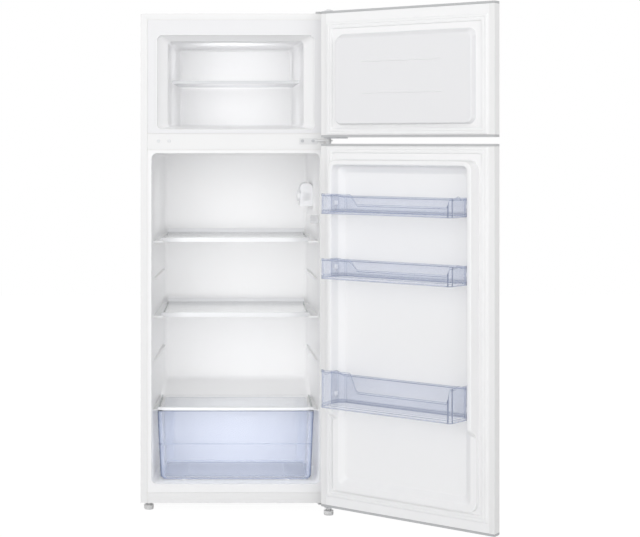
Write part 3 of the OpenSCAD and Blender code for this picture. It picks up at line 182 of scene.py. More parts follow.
def inset(corners, distance):
    """Corners moved inwards: corner + (n1 + n2) d / (1 + n1.n2), for the inward normals n1 and n2."""
    corners = np.asarray(corners, float)
    along = np.roll(corners, -1, axis=0) - corners
    along /= np.linalg.norm(along, axis=1)[:, None]
    after = np.stack([-along[:, 1], along[:, 0]], axis=1)
    before = np.roll(after, 1, axis=0)
    stretch = 1 + (after * before).sum(axis=1)
    return corners + (after + before) * (distance / stretch)[:, None]


def bulge(corners):
    """+1 where an anticlockwise outline turns left, -1 where it turns right."""
    ahead = np.roll(corners, -1, axis=0) - corners
    behind = corners - np.roll(corners, 1, axis=0)
    return np.sign(behind[:, 0] * ahead[:, 1] - behind[:, 1] * ahead[:, 0])


def rounded(corners, radii, sides):
    """Closed outline through corners. An arc of radius r starts r / tan(t) from its corner, where t
    is half the corner's angle, and sides[i] equal steps follow the straight stretch after corner i."""
    corners = np.asarray(corners, float)
    before = np.roll(corners, 1, axis=0) - corners
    after = np.roll(corners, -1, axis=0) - corners
    before /= np.linalg.norm(before, axis=1)[:, None]
    after /= np.linalg.norm(after, axis=1)[:, None]
    half = np.arccos(np.clip((before * after).sum(axis=1), -1, 1)) / 2
    middle = before + after
    middle /= np.linalg.norm(middle, axis=1)[:, None]
    radii = np.broadcast_to(np.maximum(radii, SMALLEST_RADIUS), len(corners))
    centre = corners + middle * (radii / np.sin(half))[:, None]
    first = corners + before * (radii / np.tan(half))[:, None] - centre
    last = corners + after * (radii / np.tan(half))[:, None] - centre
    turn = math.pi - 2 * half
    share = np.linspace(0, 1, ARC_STEPS + 1)[:, None]
    pieces = []
    for i in range(len(corners)):
        start = np.sin((1 - share) * turn[i]) / math.sin(turn[i])
        end = np.sin(share * turn[i]) / math.sin(turn[i])
        pieces.append(centre[i] + start * first[i] + end * last[i])
        j = (i + 1) % len(corners)
        step = np.linspace(0, 1, sides[i] + 1)[1:-1, None]
        pieces.append((centre[i] + last[i]) * (1 - step) + (centre[j] + first[j]) * step)
    return np.concatenate(pieces)


def steps_for(corners, spacing):
    """How many steps of about this spacing each side of an outline takes."""
    corners = np.asarray(corners, float)
    length = np.linalg.norm(np.roll(corners, -1, axis=0) - corners, axis=1)
    return np.maximum(np.round(length / spacing), 1).astype(int)


square = rounded([[0, 0], [20, 0], [20, 20], [0, 20]], 3, [1, 1, 1, 1])
print("a 20 mm square with 3 mm corners has", len(square), "points")

# %% [markdown]
# ## Rectangles and rings
#
# Most outlines here start as a rectangle. A ring is an outline placed in space: upright for what
# faces the room, level for what stands on a shelf. Its depth or height may differ from point to
# point, which is how one outline follows a rim that rises and falls.

# %% Rectangles and rings
def rectangle(left, right, low, high):
    """Corners of a rectangle, anticlockwise, in X and a second axis."""
    return np.array([[left, low], [right, low], [right, high], [left, high]])


def centred(half, low, high):
    """Corners of a rectangle that reaches equally far to both sides of the cabinet's middle."""
    return rectangle(-half, half, low, high)


def face_corners(node):
    """A node's box seen from the front, as a rectangle in X and Z."""
    return centred(HIGH[node][0], LOW[node][2], HIGH[node][2])


def upright_ring(outline, y):
    """An outline in X and Z, set at depth y, which may differ from point to point."""
    return np.stack([outline[:, 0], np.broadcast_to(y, len(outline)), outline[:, 1]], axis=1)


def level_ring(outline, z):
    """An outline in X and Y, set at height z, which may differ from point to point."""
    return np.stack([outline[:, 0], outline[:, 1], np.broadcast_to(z, len(outline))], axis=1)


def smooth(x, start, end):
    """0 before start, 1 after end and 3t^2 - 2t^3 between them."""
    t = np.clip((np.asarray(x, float) - start) / (end - start), 0, 1)
    return t * t * (3 - 2 * t)


print("cabinet front", face_corners("cabinet_shell").round(1).tolist())

# %% [markdown]
# ## Shells
#
# A stack becomes one closed shell with a flat cap at each end. A frame, such as a gasket, closes on
# itself and needs no cap. Each point carries a tint from 0 to 1, which clear plastic and glass use
# to grow darker at their edges.

# %% Shells
def stack(rings, caps=True, tint=None):
    """Shell (points, faces, tint) from rings (n, m, 3): quads between neighbours and a cap at each end."""
    rings = np.asarray(rings, float)
    n, m = rings.shape[:2]
    row = np.arange(n - 1)[:, None] * m
    col = np.arange(m)[None, :]
    nxt = (col + 1) % m
    quads = np.stack([row + col, row + nxt, row + m + nxt, row + m + col], axis=2).reshape(-1, 4)
    faces = quads.tolist()
    if caps:
        faces.append(list(range(m))[::-1])
        faces.append(list(range((n - 1) * m, n * m)))
    shade = np.zeros((n, m)) if tint is None else np.broadcast_to(tint, (n, m))
    return rings.reshape(-1, 3), faces, shade.reshape(-1)


def band(rings):
    """A stack whose last ring joins its first, as round a picture frame."""
    return stack(rings + rings[:1], caps=False)


def block(corners, radius, sides, profile):
    """A block from one outline in X and Z: for each (depth, y) of the profile it is drawn in by the
    depth, which its corners' radius loses too, and set at y."""
    return stack([upright_ring(rounded(inset(corners, depth), max(radius - depth, 0.3), sides), y)
                  for depth, y in profile])


def join(shells):
    """Several shells as one list of points, faces and tint."""
    points, faces, tint, start = [], [], [], 0
    for shell_points, shell_faces, shell_tint in shells:
        points.append(shell_points)
        faces.extend([[start + i for i in face] for face in shell_faces])
        tint.append(shell_tint)
        start += len(shell_points)
    return np.concatenate(points), faces, np.concatenate(tint)


points, faces, _ = block(centred(10, 0, 20), 3, [1, 1, 1, 1], [(0, 0), (0, 5)])
print("a plain block with round corners has", len(points), "points and", len(faces), "faces")

# %% [markdown]
# ## Pieces
#
# A mesh becomes a piece when its points are merged, its faces turned outwards, its flat and rounded
# faces told apart by angle, and it is tied to the CAD node that it stands for. Weighted normals let
# a large flat face shade flat right up to a small rounded edge. More rows of points would do that
# too, at a cost in triangles.
#
# Parts that are already right in shape are copied, and a bevel gives them a real part's soft edge.

# %% Pieces
MERGE = 0.02 * MM
FLAT_ANGLE = 1
SHARP_ANGLE = 40
BEVEL_ANGLE = 35


def settle(mesh, flatten=False):
    """Joins points that lie together and turns every face outwards. Flatten also joins the triangles
    of each flat face."""
    work = bmesh.new()
    work.from_mesh(mesh)
    bmesh.ops.remove_doubles(work, verts=work.verts, dist=MERGE)
    if flatten:
        limit = math.radians(FLAT_ANGLE)
        bmesh.ops.dissolve_limit(work, angle_limit=limit, verts=work.verts, edges=work.edges)
    bmesh.ops.recalc_face_normals(work, faces=work.faces)
    work.to_mesh(mesh)
    work.free()


def enter(mesh, name, node, angle):
    """Adds a mesh as a piece that rides on its node's body, hides the CAD node and wears its finish.
    Edges that turn by more than this many degrees stay sharp."""
    mesh.shade_smooth()
    mesh.set_sharp_from_angle(angle=math.radians(angle))
    piece = bpy.data.objects.new(name, mesh)
    bpy.context.scene.collection.objects.link(piece)
    weighted = piece.modifiers.new("weighted_normals", "WEIGHTED_NORMAL")
    weighted.keep_sharp = True
    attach(piece, BODY_OF[node])
    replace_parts(piece, node)
    piece.data.materials.append(FINISH[SLOT_OF[node]])
    return piece


def add_piece(name, shells, node, angle=SHARP_ANGLE):
    """A piece made of shells in drawn millimetres."""
    points, faces, tint = join(shells)
    mesh = bpy.data.meshes.new(name)
    mesh.from_pydata(to_row(points, node), [], faces)
    shade = mesh.attributes.new("rim", "FLOAT", "POINT")
    shade.data.foreach_set("value", tint)
    settle(mesh)
    return enter(mesh, name, node, angle)


def finished_copy(node, edge):
    """A copy of a mechanical CAD part with its points merged, its flat faces joined and its edges
    bevelled by this many millimetres, as a real part's are."""
    mesh = frame["nodes"][node].data.copy()
    mesh.materials.clear()
    settle(mesh, flatten=True)
    piece = enter(mesh, node + "_finished", node, SHARP_ANGLE)
    if edge > 0:
        bevel = piece.modifiers.new("edge", "BEVEL")
        bevel.width = edge * MM
        bevel.segments = 2
        bevel.limit_method = "ANGLE"
        bevel.angle_limit = math.radians(BEVEL_ANGLE)
        bevel.use_clamp_overlap = True
        piece.modifiers.move(1, 0)
    return piece


print("points closer than", round(MERGE / MM, 3), "mm are merged")

# %% [markdown]
# ## Finishes
#
# Each finish is a Principled shader whose colour drifts a little from place to place and whose
# surface has the fine relief of its process: orange peel on enamel, a satin grain on moulded
# plastic, pores in foam. One flat colour would be quicker, but then light glides over a surface as
# over a drawing. The relief follows object coordinates, so it stays on the part when that moves.

# %% A finish
MOTTLE_CELLS = 14
ROUGHNESS_CELLS = 60
RELIEF_DEPTH = 0.2 * MM


def noise(nodes, links, coordinates, scale, detail):
    """A noise value at this many cells a metre."""
    texture = nodes.new("ShaderNodeTexNoise")
    texture.inputs["Scale"].default_value = scale
    texture.inputs["Detail"].default_value = detail
    links.new(coordinates, texture.inputs["Vector"])
    return texture.outputs["Fac"]


def between(nodes, links, value, low, high):
    """A value that runs from 0 to 1, made to run from low to high."""
    spread = nodes.new("ShaderNodeMapRange")
    spread.inputs["To Min"].default_value = low
    spread.inputs["To Max"].default_value = high
    links.new(value, spread.inputs["Value"])
    return spread.outputs["Result"]


def finish(name, colour, roughness, drift, grain, relief, metallic=0.0, rough_drift=0.06):
    """A finish: linear colour times 1 +- drift, roughness +- rough_drift, and a relief of this many
    grains a metre and this strength."""
    material = bpy.data.materials.new(name)
    material.use_nodes = True
    nodes, links = material.node_tree.nodes, material.node_tree.links
    shader = nodes["Principled BSDF"]
    shader.inputs["Metallic"].default_value = metallic
    place = nodes.new("ShaderNodeTexCoord").outputs["Object"]
    tone = between(nodes, links, noise(nodes, links, place, MOTTLE_CELLS, 4), 1 - drift, 1 + drift)
    paint = nodes.new("ShaderNodeMix")
    paint.data_type = "RGBA"
    paint.blend_type = "MULTIPLY"
    paint.inputs["Factor"].default_value = 1
    paint.inputs["A"].default_value = (*colour, 1)
    links.new(tone, paint.inputs["B"])
    links.new(paint.outputs["Result"], shader.inputs["Base Color"])
    wear = noise(nodes, links, place, ROUGHNESS_CELLS, 3)
    rough = between(nodes, links, wear, roughness - rough_drift, roughness + rough_drift)
    links.new(rough, shader.inputs["Roughness"])
    bump = nodes.new("ShaderNodeBump")
    bump.inputs["Strength"].default_value = relief
    bump.inputs["Distance"].default_value = RELIEF_DEPTH
    links.new(noise(nodes, links, place, grain, 2), bump.inputs["Height"])
    links.new(bump.outputs["Normal"], shader.inputs["Normal"])
    return material


print("mottle of", MOTTLE_CELLS, "cells a metre, relief", round(RELIEF_DEPTH / MM, 2), "mm deep")

# %% [markdown]
# ## Clear plastic and glass
#
# Clear plastic and glass let light pass by their alpha. Bending the light as well would be truer,
# but the walls are so thin that the eye does not see it, and it would take many more samples.
#
# A pane mirrors what stands behind it when one looks along it, as over a shelf at eye level. So the
# glass is made as a faint mirror whose cover grows at low angles.

# %% Clear finishes
def see_through(material, clear, dense, deep, slanted=0.0):
    """Lets light pass: alpha runs from clear on the walls to dense at rims, and the colour goes to
    deep there, as where clear plastic is seen edge on. Slanted adds to alpha where the surface is
    seen at a low angle, as a pane of glass then mirrors its surroundings."""
    nodes, links = material.node_tree.nodes, material.node_tree.links
    shader = nodes["Principled BSDF"]
    rim = nodes.new("ShaderNodeAttribute")
    rim.attribute_name = "rim"
    alpha = between(nodes, links, rim.outputs["Fac"], clear, dense)
    if slanted:
        facing = nodes.new("ShaderNodeLayerWeight")
        haze = nodes.new("ShaderNodeMath")
        haze.operation = "MULTIPLY_ADD"
        haze.use_clamp = True
        haze.inputs[1].default_value = slanted
        links.new(facing.outputs["Facing"], haze.inputs[0])
        links.new(alpha, haze.inputs[2])
        alpha = haze.outputs[0]
    links.new(alpha, shader.inputs["Alpha"])
    shade = nodes.new("ShaderNodeMix")
    shade.data_type = "RGBA"
    shade.inputs["B"].default_value = (*deep, 1)
    links.new(shader.inputs["Base Color"].links[0].from_socket, shade.inputs["A"])
    links.new(rim.outputs["Fac"], shade.inputs["Factor"])
    links.new(shade.outputs["Result"], shader.inputs["Base Color"])
    return material


print("clear finishes read each point's tint from the attribute rim")

# %% [markdown]
# ## The finishes of this refrigerator
#
# Every material slot of the imported model has its finish here. The white plastics differ a little:
# the deep drawn liners, a slightly darker white on the freezer door's cushion and the freezer's
# flange, and the moulded trims. The grey of the doors' end caps is painted shade, for the shadow
# line along the doors' lower edges. The colours are linear values, so 0.8 is a light grey and the
# enamel is not pure white.

# %% The finishes
# colour, roughness, drift, grain, relief, then metallic and the roughness's drift where they differ
FINISH_VALUES = {
    "white_enamel": ((0.835, 0.835, 0.835), 0.38, 0.008, 700, 0.06),
    "back_paint": ((0.46, 0.48, 0.50), 0.55, 0.03, 500, 0.10),
    "zinc_steel": ((0.58, 0.59, 0.61), 0.36, 0.06, 400, 0.10, 0.9),
    "foam": ((0.89, 0.86, 0.76), 0.85, 0.06, 350, 0.50),
    "liner_plastic": ((0.895, 0.895, 0.90), 0.42, 0.006, 800, 0.05),
    # a slightly darker, rougher white for the freezer door's cushion and the freezer's flange
    "darker_sheet_plastic": ((0.805, 0.805, 0.818), 0.46, 0.006, 800, 0.05),
    "trim_plastic": ((0.75, 0.755, 0.77), 0.38, 0.008, 900, 0.05),
    # the end caps' grey is painted shade, standing in for the shadow line along the doors' lower edges
    "painted_shade_cap_plastic": ((0.50, 0.505, 0.515), 0.45, 0.01, 900, 0.08),
    "foot_plastic": ((0.74, 0.74, 0.74), 0.55, 0.02, 900, 0.10),
    "hinge_paint": ((0.74, 0.745, 0.75), 0.42, 0.02, 600, 0.08),
    "black_enamel": ((0.018, 0.018, 0.020), 0.35, 0.10, 500, 0.12),
    "black_plastic": ((0.022, 0.022, 0.024), 0.55, 0.08, 900, 0.15),
    "black_rubber": ((0.016, 0.016, 0.017), 0.75, 0.08, 800, 0.20),
    "copper_tube": ((0.62, 0.30, 0.15), 0.38, 0.12, 300, 0.10, 1.0),
    "aluminium_tube": ((0.70, 0.71, 0.72), 0.40, 0.05, 300, 0.10, 1.0),
    "bulb_glass": ((0.92, 0.90, 0.84), 0.10, 0.01, 200, 0.01),
    "shelf_glass": ((0.94, 0.95, 0.95), 0.06, 0.01, 100, 0.0, 1.0, 0.01),
    "ice_blue_plastic": ((0.66, 0.73, 0.93), 0.16, 0.015, 500, 0.03),
    "gasket_vinyl": ((0.88, 0.88, 0.885), 0.55, 0.02, 900, 0.12),
}
FINISH = {name: finish(name, *values) for name, values in FINISH_VALUES.items()}
see_through(FINISH["ice_blue_plastic"], 0.12, 0.92, (0.085, 0.11, 0.18))
see_through(FINISH["shelf_glass"], 0.08, 0.92, (0.22, 0.26, 0.26), slanted=0.45)
see_through(FINISH["bulb_glass"], 0.55, 0.9, (0.85, 0.84, 0.78))
print("finishes", len(FINISH))

# %% [markdown]
# ## Door bins
#
# Each bin is an injection moulded tub of pale blue clear plastic. Its ends are tucked in behind the
# door's ridge, and the front wall drops from a horn at the hinge side to a low stretch. A small ear
# stands on the far end's wall. A box with a Solidify wall would be quicker, but a rim of changing
# height needs an outline that carries a height of its own at each point.

# %% Plan and rim of a bin
RIDGE_P = HIGH["fridge_door_liner"][1] - PANEL
BIN_SHOULDER = RIDGE_P + 2
BIN_WAIST = 15
BIN_NOSE = 8
BIN_FLARE = 19
BIN_LEAN = 4
BIN_SKIRT = 8.5
BIN_WALL = 2.0
BIN_RADII = np.array([3, 5, 7, 7, 5, 3, 10, 10])
BIN_CORNER_TINT = np.array([0.5, 0.2, 0.2, 0.2, 0.2, 0.4, 0.4, 0.95])
RIM_INSET = 0.9
HORN = 96
HORN_CURVE = 28
FRONT_BLEND = (13, 9)
FAR_BLEND = (12, 3)
HINGE_BLEND = (34, 12)
BACK_BLEND = (BIN_WAIST + 4, 3)
EAR_RISE = 3.6
EAR_PLACE = 75
EAR_WIDTH = 7.5
EAR_WALL = 14


def bin_corners(node):
    """The bin's plan, anticlockwise: shoulders at the ridge, waists, back corners and front corners."""
    half = HIGH[node][0]
    foot = half - BIN_LEAN
    back = LOW[node][1]
    front = HIGH[node][1]
    return np.array([
        [-half, PANEL + BIN_SHOULDER], [-foot, PANEL + BIN_WAIST], [-foot + BIN_FLARE, back],
        [foot - BIN_FLARE, back], [foot, PANEL + BIN_WAIST], [half, PANEL + BIN_SHOULDER],
        [half - BIN_NOSE, front], [-half + BIN_NOSE, front]])


def bin_top(node, plan, low, side, rear):
    """Height of the rim over each point of the plan: low in front, a smooth rise to the horn, the side
    walls' and back wall's own heights, and an ear that rises as a bell over the far end's wall."""
    x, y = plan[:, 0], plan[:, 1]
    bottom = LOW[node][2]
    full = HIGH[node][2] - bottom
    half, front = HIGH[node][0], HIGH[node][1]
    horn = half - BIN_NOSE - HORN
    far = half - BIN_NOSE
    far_rise = smooth(-x, far - FAR_BLEND[0], far - FAR_BLEND[1]) * (side - low) / (full - low)
    front_top = low + (full - low) * (smooth(x, horn - HORN_CURVE, horn) + far_rise)
    hinge_top = side + (full - side) * smooth(y, front - HINGE_BLEND[0], front - HINGE_BLEND[1])
    behind = smooth(-y, -(PANEL + BACK_BLEND[0]), -(PANEL + BACK_BLEND[1]))
    wall_top = np.where(x > 0, hinge_top, side) + (rear - side) * behind
    ear = EAR_RISE * np.exp(-((y - PANEL - EAR_PLACE) / EAR_WIDTH) ** 2) * (x < EAR_WALL - half)
    in_front = smooth(y, front - FRONT_BLEND[0], front - FRONT_BLEND[1])
    return bottom + (wall_top + ear) * (1 - in_front) + front_top * in_front


top = bin_top("bin_upper", bin_corners("bin_upper"), 30, 50, 46) - LOW["bin_upper"][2]
print("rim over the plan's corners", top.round(1))

# %% [markdown]
# ## Bin mouldings
#
# The floor stands on a short skirt and a bead runs round the rim. One profile goes from under the
# floor over the rim and down the inside: each of its rows says how far the plan is drawn in, how
# high it lies and how dark it is. So each wall has just two surfaces for the light to pass, as the
# real one has.

# %% Bin mouldings
def bin_piece(node, low, side, rear):
    """The bin as one stack: under its floor, out to the skirt, up the wall to the bead, over the rim
    and down the inside to the floor. A corner's radius shrinks by the depth of the outline where the
    plan turns left and grows by it where it turns right."""
    corners = bin_corners(node)
    turn = bulge(corners)
    sides = steps_for(corners, 4)

    def at(depth):
        """The plan, drawn in by a depth."""
        return rounded(inset(corners, depth), np.maximum(BIN_RADII - turn * depth, 0.6), sides)

    top = bin_top(node, at(0), low, side, rear)
    bottom = LOW[node][2]
    middle = (bottom + top) / 2
    floor = bottom + BIN_SKIRT
    inside = RIM_INSET + BIN_WALL
    arc_start = np.cumsum(sides + ARC_STEPS) - sides - ARC_STEPS
    post = np.zeros(len(top))
    post[arc_start] = BIN_CORNER_TINT
    post[(arc_start + ARC_STEPS) % len(top)] = BIN_CORNER_TINT
    # how far the plan is drawn in, its height and its tint
    profile = [
        (9.0, floor, 0.0), (3.4, floor, 0.1), (2.6, floor - 1, 0.1), (2.3, bottom + 0.3, 0.1),
        (1.9, bottom, 0.3), (1.3, bottom, 0.7), (1.0, bottom + 0.4, 0.6), (RIM_INSET, floor - 1.2, 0.0),
        (RIM_INSET, floor, 0.85), (RIM_INSET, floor + 1.2, 0.0), (RIM_INSET, middle, 0.0),
        (RIM_INSET, top - 6.0, 0.0), (0.8, top - 5.2, 1.0), (0.15, top - 4.6, 0.6), (0.0, top - 3.6, 0.05),
        (0.0, top - 1.4, 0.05), (0.3, top - 0.4, 0.5), (1.0, top, 0.8), (2.2, top, 0.4),
        (2.8, top - 0.6, 0.2), (2.9, top - 1.6, 0.1), (inside, middle, 0.0), (inside, floor + 5, 0.0),
        (3.8, floor + 2.8, 0.3), (6.5, floor + 1.8, 0.0), (9.5, floor + 1.8, 0.0)]
    rings = [level_ring(at(depth), height) for depth, height, _ in profile]
    tint = [np.maximum(shade, post) for _, _, shade in profile]
    for end in (0, -1):
        tint[end] = np.full(len(top), profile[end][2])
    return add_piece(node + "_tub", [stack(rings, tint=np.array(tint))], node, angle=50)


small = HIGH["bin_upper"][2] - LOW["bin_upper"][2]
tall = HIGH["bin_lower"][2] - LOW["bin_lower"][2]
bins = [bin_piece("bin_upper", small / 2 + 1, small - 4, small - 8),
        bin_piece("bin_middle", small / 2 + 3, small - 4, small - 8),
        bin_piece("bin_lower", tall / 2 + 3, tall - 13, tall - 24)]
print("bins", [len(piece.data.polygons) for piece in bins])

# %% [markdown]
# ## Vegetable drawer
#
# A clear pale blue tub whose walls lean inwards to the floor, moulded in one with a front plate
# that has rounded lower corners. The plan holds both: eight corners, of which four make the plate's
# ends. Two shells that overlap would be simpler, but light would then pass too many surfaces.

# %% Outlines of the drawer
DRAWER = "crisper_drawer"
TUB_WALL = 2.4
TUB_FOOT = 8
TUB_TOP = 3
TUB_SIDE = 14
TUB_LEAN = 11
TUB_BACK_LEAN = 12
PLATE_T = 10
PLATE_LEAN = 9
PLATE_STEP = 3
STEP_Z = LOW[DRAWER][2] + 103
FRONT_CORNER = 9.0
END_TINT_WIDTH = 1.7
CORNER_RADII = [1.6, 1.6, 0.8, 2.0, 22, 22, 2.0, 0.8]
HOLLOW_RADII = [18, 18, 0, 0, 20, 20, 0, 0]
DRAWER_SIDES = [30, 1, 1, 16, 30, 16, 1, 1]


def tub_sizes(z):
    """The tub's half width and back at height z: both walls lean outwards in proportion to height."""
    low, high = LOW[DRAWER], HIGH[DRAWER]
    share = min(max((z - low[2] - TUB_FOOT) / (high[2] - low[2] - TUB_FOOT - TUB_TOP), 0), 1)
    return high[0] - TUB_SIDE + TUB_LEAN * share, high[1] - TUB_BACK_LEAN * (1 - share)


def outside_ring(z, plate=None, shrink=0.0):
    """The plan seen from outside, anticlockwise: the front plate with its ends, then the tub behind it.
    With no plate its ends close up against the tub."""
    half, back = tub_sizes(z)
    half, back = half - shrink, back - shrink
    face = LOW[DRAWER][1]
    width, front = plate if plate else (half + 0.4, face + PLATE_T / 2 + shrink / 6)
    rear = face + PLATE_T
    tub = rear + 0.6
    corners = [[-width, front], [width, front], [width, rear], [half, tub],
               [half, back], [-half, back], [-half, tub], [-width, rear]]
    return level_ring(rounded(corners, CORNER_RADII, DRAWER_SIDES), z)


def inside_ring(z, shrink=0.0):
    """The tub's hollow at height z, with two points more on each side wall, so that it has as many
    corners as the outside."""
    half, back = tub_sizes(z)
    half, back = half - TUB_WALL - shrink, back - TUB_WALL - shrink
    front = LOW[DRAWER][1] + PLATE_T + TUB_WALL + shrink
    a, b = front + 32, front + 42
    corners = [[-half, front], [half, front], [half + 0.01, a], [half, b],
               [half, back], [-half, back], [-half, b], [-half - 0.01, a]]
    return level_ring(rounded(corners, HOLLOW_RADII, DRAWER_SIDES), z)


print("tub's half width at the floor and rim",
      [round(float(tub_sizes(z)[0]), 1) for z in (LOW[DRAWER][2], HIGH[DRAWER][2])])

# %% [markdown]
# ## Drawer moulding
#
# The plate's upper part stands a little proud, which makes the line across it. The rings go up the
# outside and down the inside, and the tint marks what looks dark in clear plastic: the plate's
# ends, the line and the corners.

# %% Drawer moulding
def drawer_outside():
    """Rings and tints from under the floor up to the rim. The plate's width follows quarter circles at
    its lower corners, w - r + sqrt(r^2 - d^2), and its face stands further forward above the step."""
    low, high = LOW[DRAWER], HIGH[DRAWER]
    bottom, rim, half, face = low[2] + 4, high[2], high[0], low[1]
    rings = [outside_ring(low[2] + rise, shrink=shrink)
             for rise, shrink in ((2.6, 24), (2.6, 7), (0, 5), (1, 2.5))]
    tint = [np.full(len(rings[0]), shade) for shade in (0.0, 0.0, 0.5, 0.5)]
    corner = FRONT_CORNER * (1 - np.cos(np.linspace(0, math.pi / 2, 6)))
    heights = np.concatenate([
        bottom + corner, np.linspace(bottom + 2 * FRONT_CORNER, STEP_Z - 3, 5),
        [STEP_Z - 1.2, STEP_Z, STEP_Z + 1.6, STEP_Z + 4],
        np.linspace(STEP_Z + 12, rim - 4, 5), [rim - 1.2, rim - 0.2]])
    for z in heights:
        drop = max(bottom + FRONT_CORNER - z, 0)
        width = half - PLATE_LEAN * (rim - z) / (rim - bottom)
        width = width - FRONT_CORNER + math.sqrt(FRONT_CORNER ** 2 - drop ** 2)
        front = face + PLATE_STEP * (1 - float(smooth(z, STEP_Z - 1.4, STEP_Z + 1.4)))
        ring = outside_ring(z, (width, front), 0.5 * (z > rim - 0.5))
        plate_end = (np.abs(ring[:, 0]) > width - END_TINT_WIDTH) & (ring[:, 1] < face + PLATE_T + 1)
        front_face = ring[:, 1] < face + PLATE_T - 1
        line = 1.0 * (abs(z - STEP_Z) < 1) + 0.8 * (z < bottom + 0.4)
        rings.append(ring)
        tint.append(np.clip(plate_end + front_face * line + 0.6 * (z > rim - 1), 0, 1.0))
    return rings, tint


def drawer_inside():
    """Rings and tints from the rim down the inside to the floor, with a faint line at the back corners."""
    low, high = LOW[DRAWER], HIGH[DRAWER]
    rim, half, face, floor = high[2], high[0], low[1], low[2] + 5
    rings, tint = [], []
    # height, how far the outline is drawn in and its tint
    for z, shrink, shade in (
            (rim, -1.2, 0.8), (rim - 0.6, 0, 0.6), (rim - 4, 0, 0), (STEP_Z, 0, 0), (floor + 30, 0, 0),
            (floor + 5, 0.3, 0.05), (floor + 1.2, 2.0, 0.5), (floor, 5.0, 0.1), (floor, 16.0, 0)):
        ring = inside_ring(z, shrink)
        bend = np.abs(np.gradient(ring[:, 0])) > 0.2
        corner_line = 0.3 * bend * (ring[:, 1] > face + 60) * (np.abs(ring[:, 0]) > half - 40)
        rings.append(ring)
        tint.append(np.maximum(shade, corner_line * (0 < shade or z > floor + 4)))
    return rings, tint


def drawer_piece():
    """One moulding: the outside's rings, then the inside's."""
    rings, tint = drawer_outside()
    more_rings, more_tint = drawer_inside()
    shell = stack(rings + more_rings, tint=np.array(tint + more_tint))
    return add_piece("crisper_tub", [shell], DRAWER, angle=50)


drawer = drawer_piece()
print("drawer", len(drawer.data.polygons))

# %% [markdown]
# ## The fridge door's liner
#
# Each door's inner face is one sheet, drawn down in a vacuum over a mould. This one has the ridge
# that holds the bins, which sinks low beside the vegetable drawer. A grid pulled up by a height map
# would stretch its quads on walls as steep as these. Outlines that step inwards put the points
# where the sheet bends.

# %% Fridge door liner
LINER_T = 1.5
SHEET_EDGE = 0.4
RIDGE_SIDE = 46
RIDGE_WIDTH = 15
RIDGE_LOW_P = 12
RIDGE_TOP_GAP = 16
RIDGE_SINK = (-9, 12)


def hollow(node, front, back):
    """Lowest and highest corner of a liner's hollow between two depths: its outer skin's, less the
    sheet, to a hundredth of a millimetre."""
    points = DRAWN[node]
    points = points[(points[:, 1] > front) & (points[:, 1] < back)]
    return (points.min(axis=0) + LINER_T).round(2), (points.max(axis=0) - LINER_T).round(2)


FRIDGE_LOW, FRIDGE_HIGH = hollow("fridge_liner", LINER_T + 1, HIGH["fridge_liner"][1])
LIP_LOW, LIP_HIGH = hollow("freezer_liner", LINER_T + 1, 30)


def flat_sheet(corners, sides):
    """The flat part of a pressed door sheet: its underside, its edge and its face."""
    return [upright_ring(rounded(corners, 2.0, sides), PANEL - LINER_T),
            upright_ring(rounded(corners, 2.0, sides), PANEL - SHEET_EDGE),
            upright_ring(rounded(inset(corners, 0.5), 2.0, sides), PANEL)]


def fridge_door_sheet():
    """The sheet as a stack of outlines: its edge, the panel, up the ridge, over it and down inside.
    Beside the vegetable drawer no height is more than the low ridge's."""
    half = HIGH["cabinet_shell"][0] - RIDGE_SIDE
    outer = centred(half, LOW[DRAWER][2] - 1.5, FRIDGE_HIGH[2] - RIDGE_TOP_GAP)
    sides = steps_for(outer, 6)
    # how far the outline is drawn in, its height over the panel and its corners' radius
    profile = [(0.0, 0.0, 26), (0.3, 1.2, 26), (1.0, 3.0, 25), (1.6, RIDGE_P - 4.5, 25),
               (2.2, RIDGE_P - 2.0, 24), (3.6, RIDGE_P - 0.5, 23), (5.4, RIDGE_P, 21),
               (12.0, RIDGE_P, 16), (13.8, RIDGE_P - 0.6, 15), (15.0, RIDGE_P - 2.2, 14),
               (15.6, RIDGE_P - 4.6, 14), (18.6, 16.5, 13), (19.6, 13.5, 13), (22.0, 10.5, 13),
               (34.0, 2.4, 13), (36.5, 0.8, 13), (39.0, 0.1, 13)]
    rings = flat_sheet(face_corners("fridge_door_liner"), sides)
    sink_from, sink_to = HIGH["cover_trim"][2] + np.array(RIDGE_SINK)
    for depth, p, radius in profile:
        outline = rounded(inset(outer, depth), radius, sides)
        low_p = min(p, RIDGE_LOW_P)
        height = low_p + (p - low_p) * smooth(outline[:, 1], sink_from, sink_to)
        rings.append(upright_ring(outline, PANEL + height))
    return stack(rings)


def fridge_door_lugs():
    """Two small rounded blocks for each bin, on the ridge's inner walls."""
    wall = HIGH["cabinet_shell"][0] - RIDGE_SIDE - RIDGE_WIDTH - BIN_LEAN
    profile = [(0, PANEL + 18), (0, PANEL + 29), (0.3, PANEL + 29.7), (1.2, PANEL + 30)]
    lugs = []
    for node in ("bin_upper", "bin_middle", "bin_lower"):
        z = LOW[node][2]
        for left, right in ((-wall - 2, -wall + 4.2), (wall - 4.2, wall + 2)):
            lugs.append(block(rectangle(left, right, z + 22, z + 34), 1.5, [2, 2, 2, 2], profile))
    return lugs


door_shells = [fridge_door_sheet()] + fridge_door_lugs()
door_sheet = add_piece("fridge_door_sheet", door_shells, "fridge_door_liner")
print("fridge door sheet", len(door_sheet.data.polygons))

# %% [markdown]
# ## The freezer door's liner
#
# Its middle is a raised cushion with two faint pressed lines, and the cushion's top slopes away
# from the door. The cushion is a shell of its own on the flat sheet, since it wears a slightly
# darker, rougher white.

# %% Freezer door liner
CUSHION_LOW = LIP_LOW[2] + 12
CUSHION_HIGH = LIP_HIGH[2] - 3
CUSHION_SIDE = 55
CUSHION_TAPER = 4
CUSHION_SLOPE = 13
CUSHION_RADIUS = 20
CUSHION_EASE = 2.4
LINE_HALF = 127
LINE_PLACES = (48, -40)


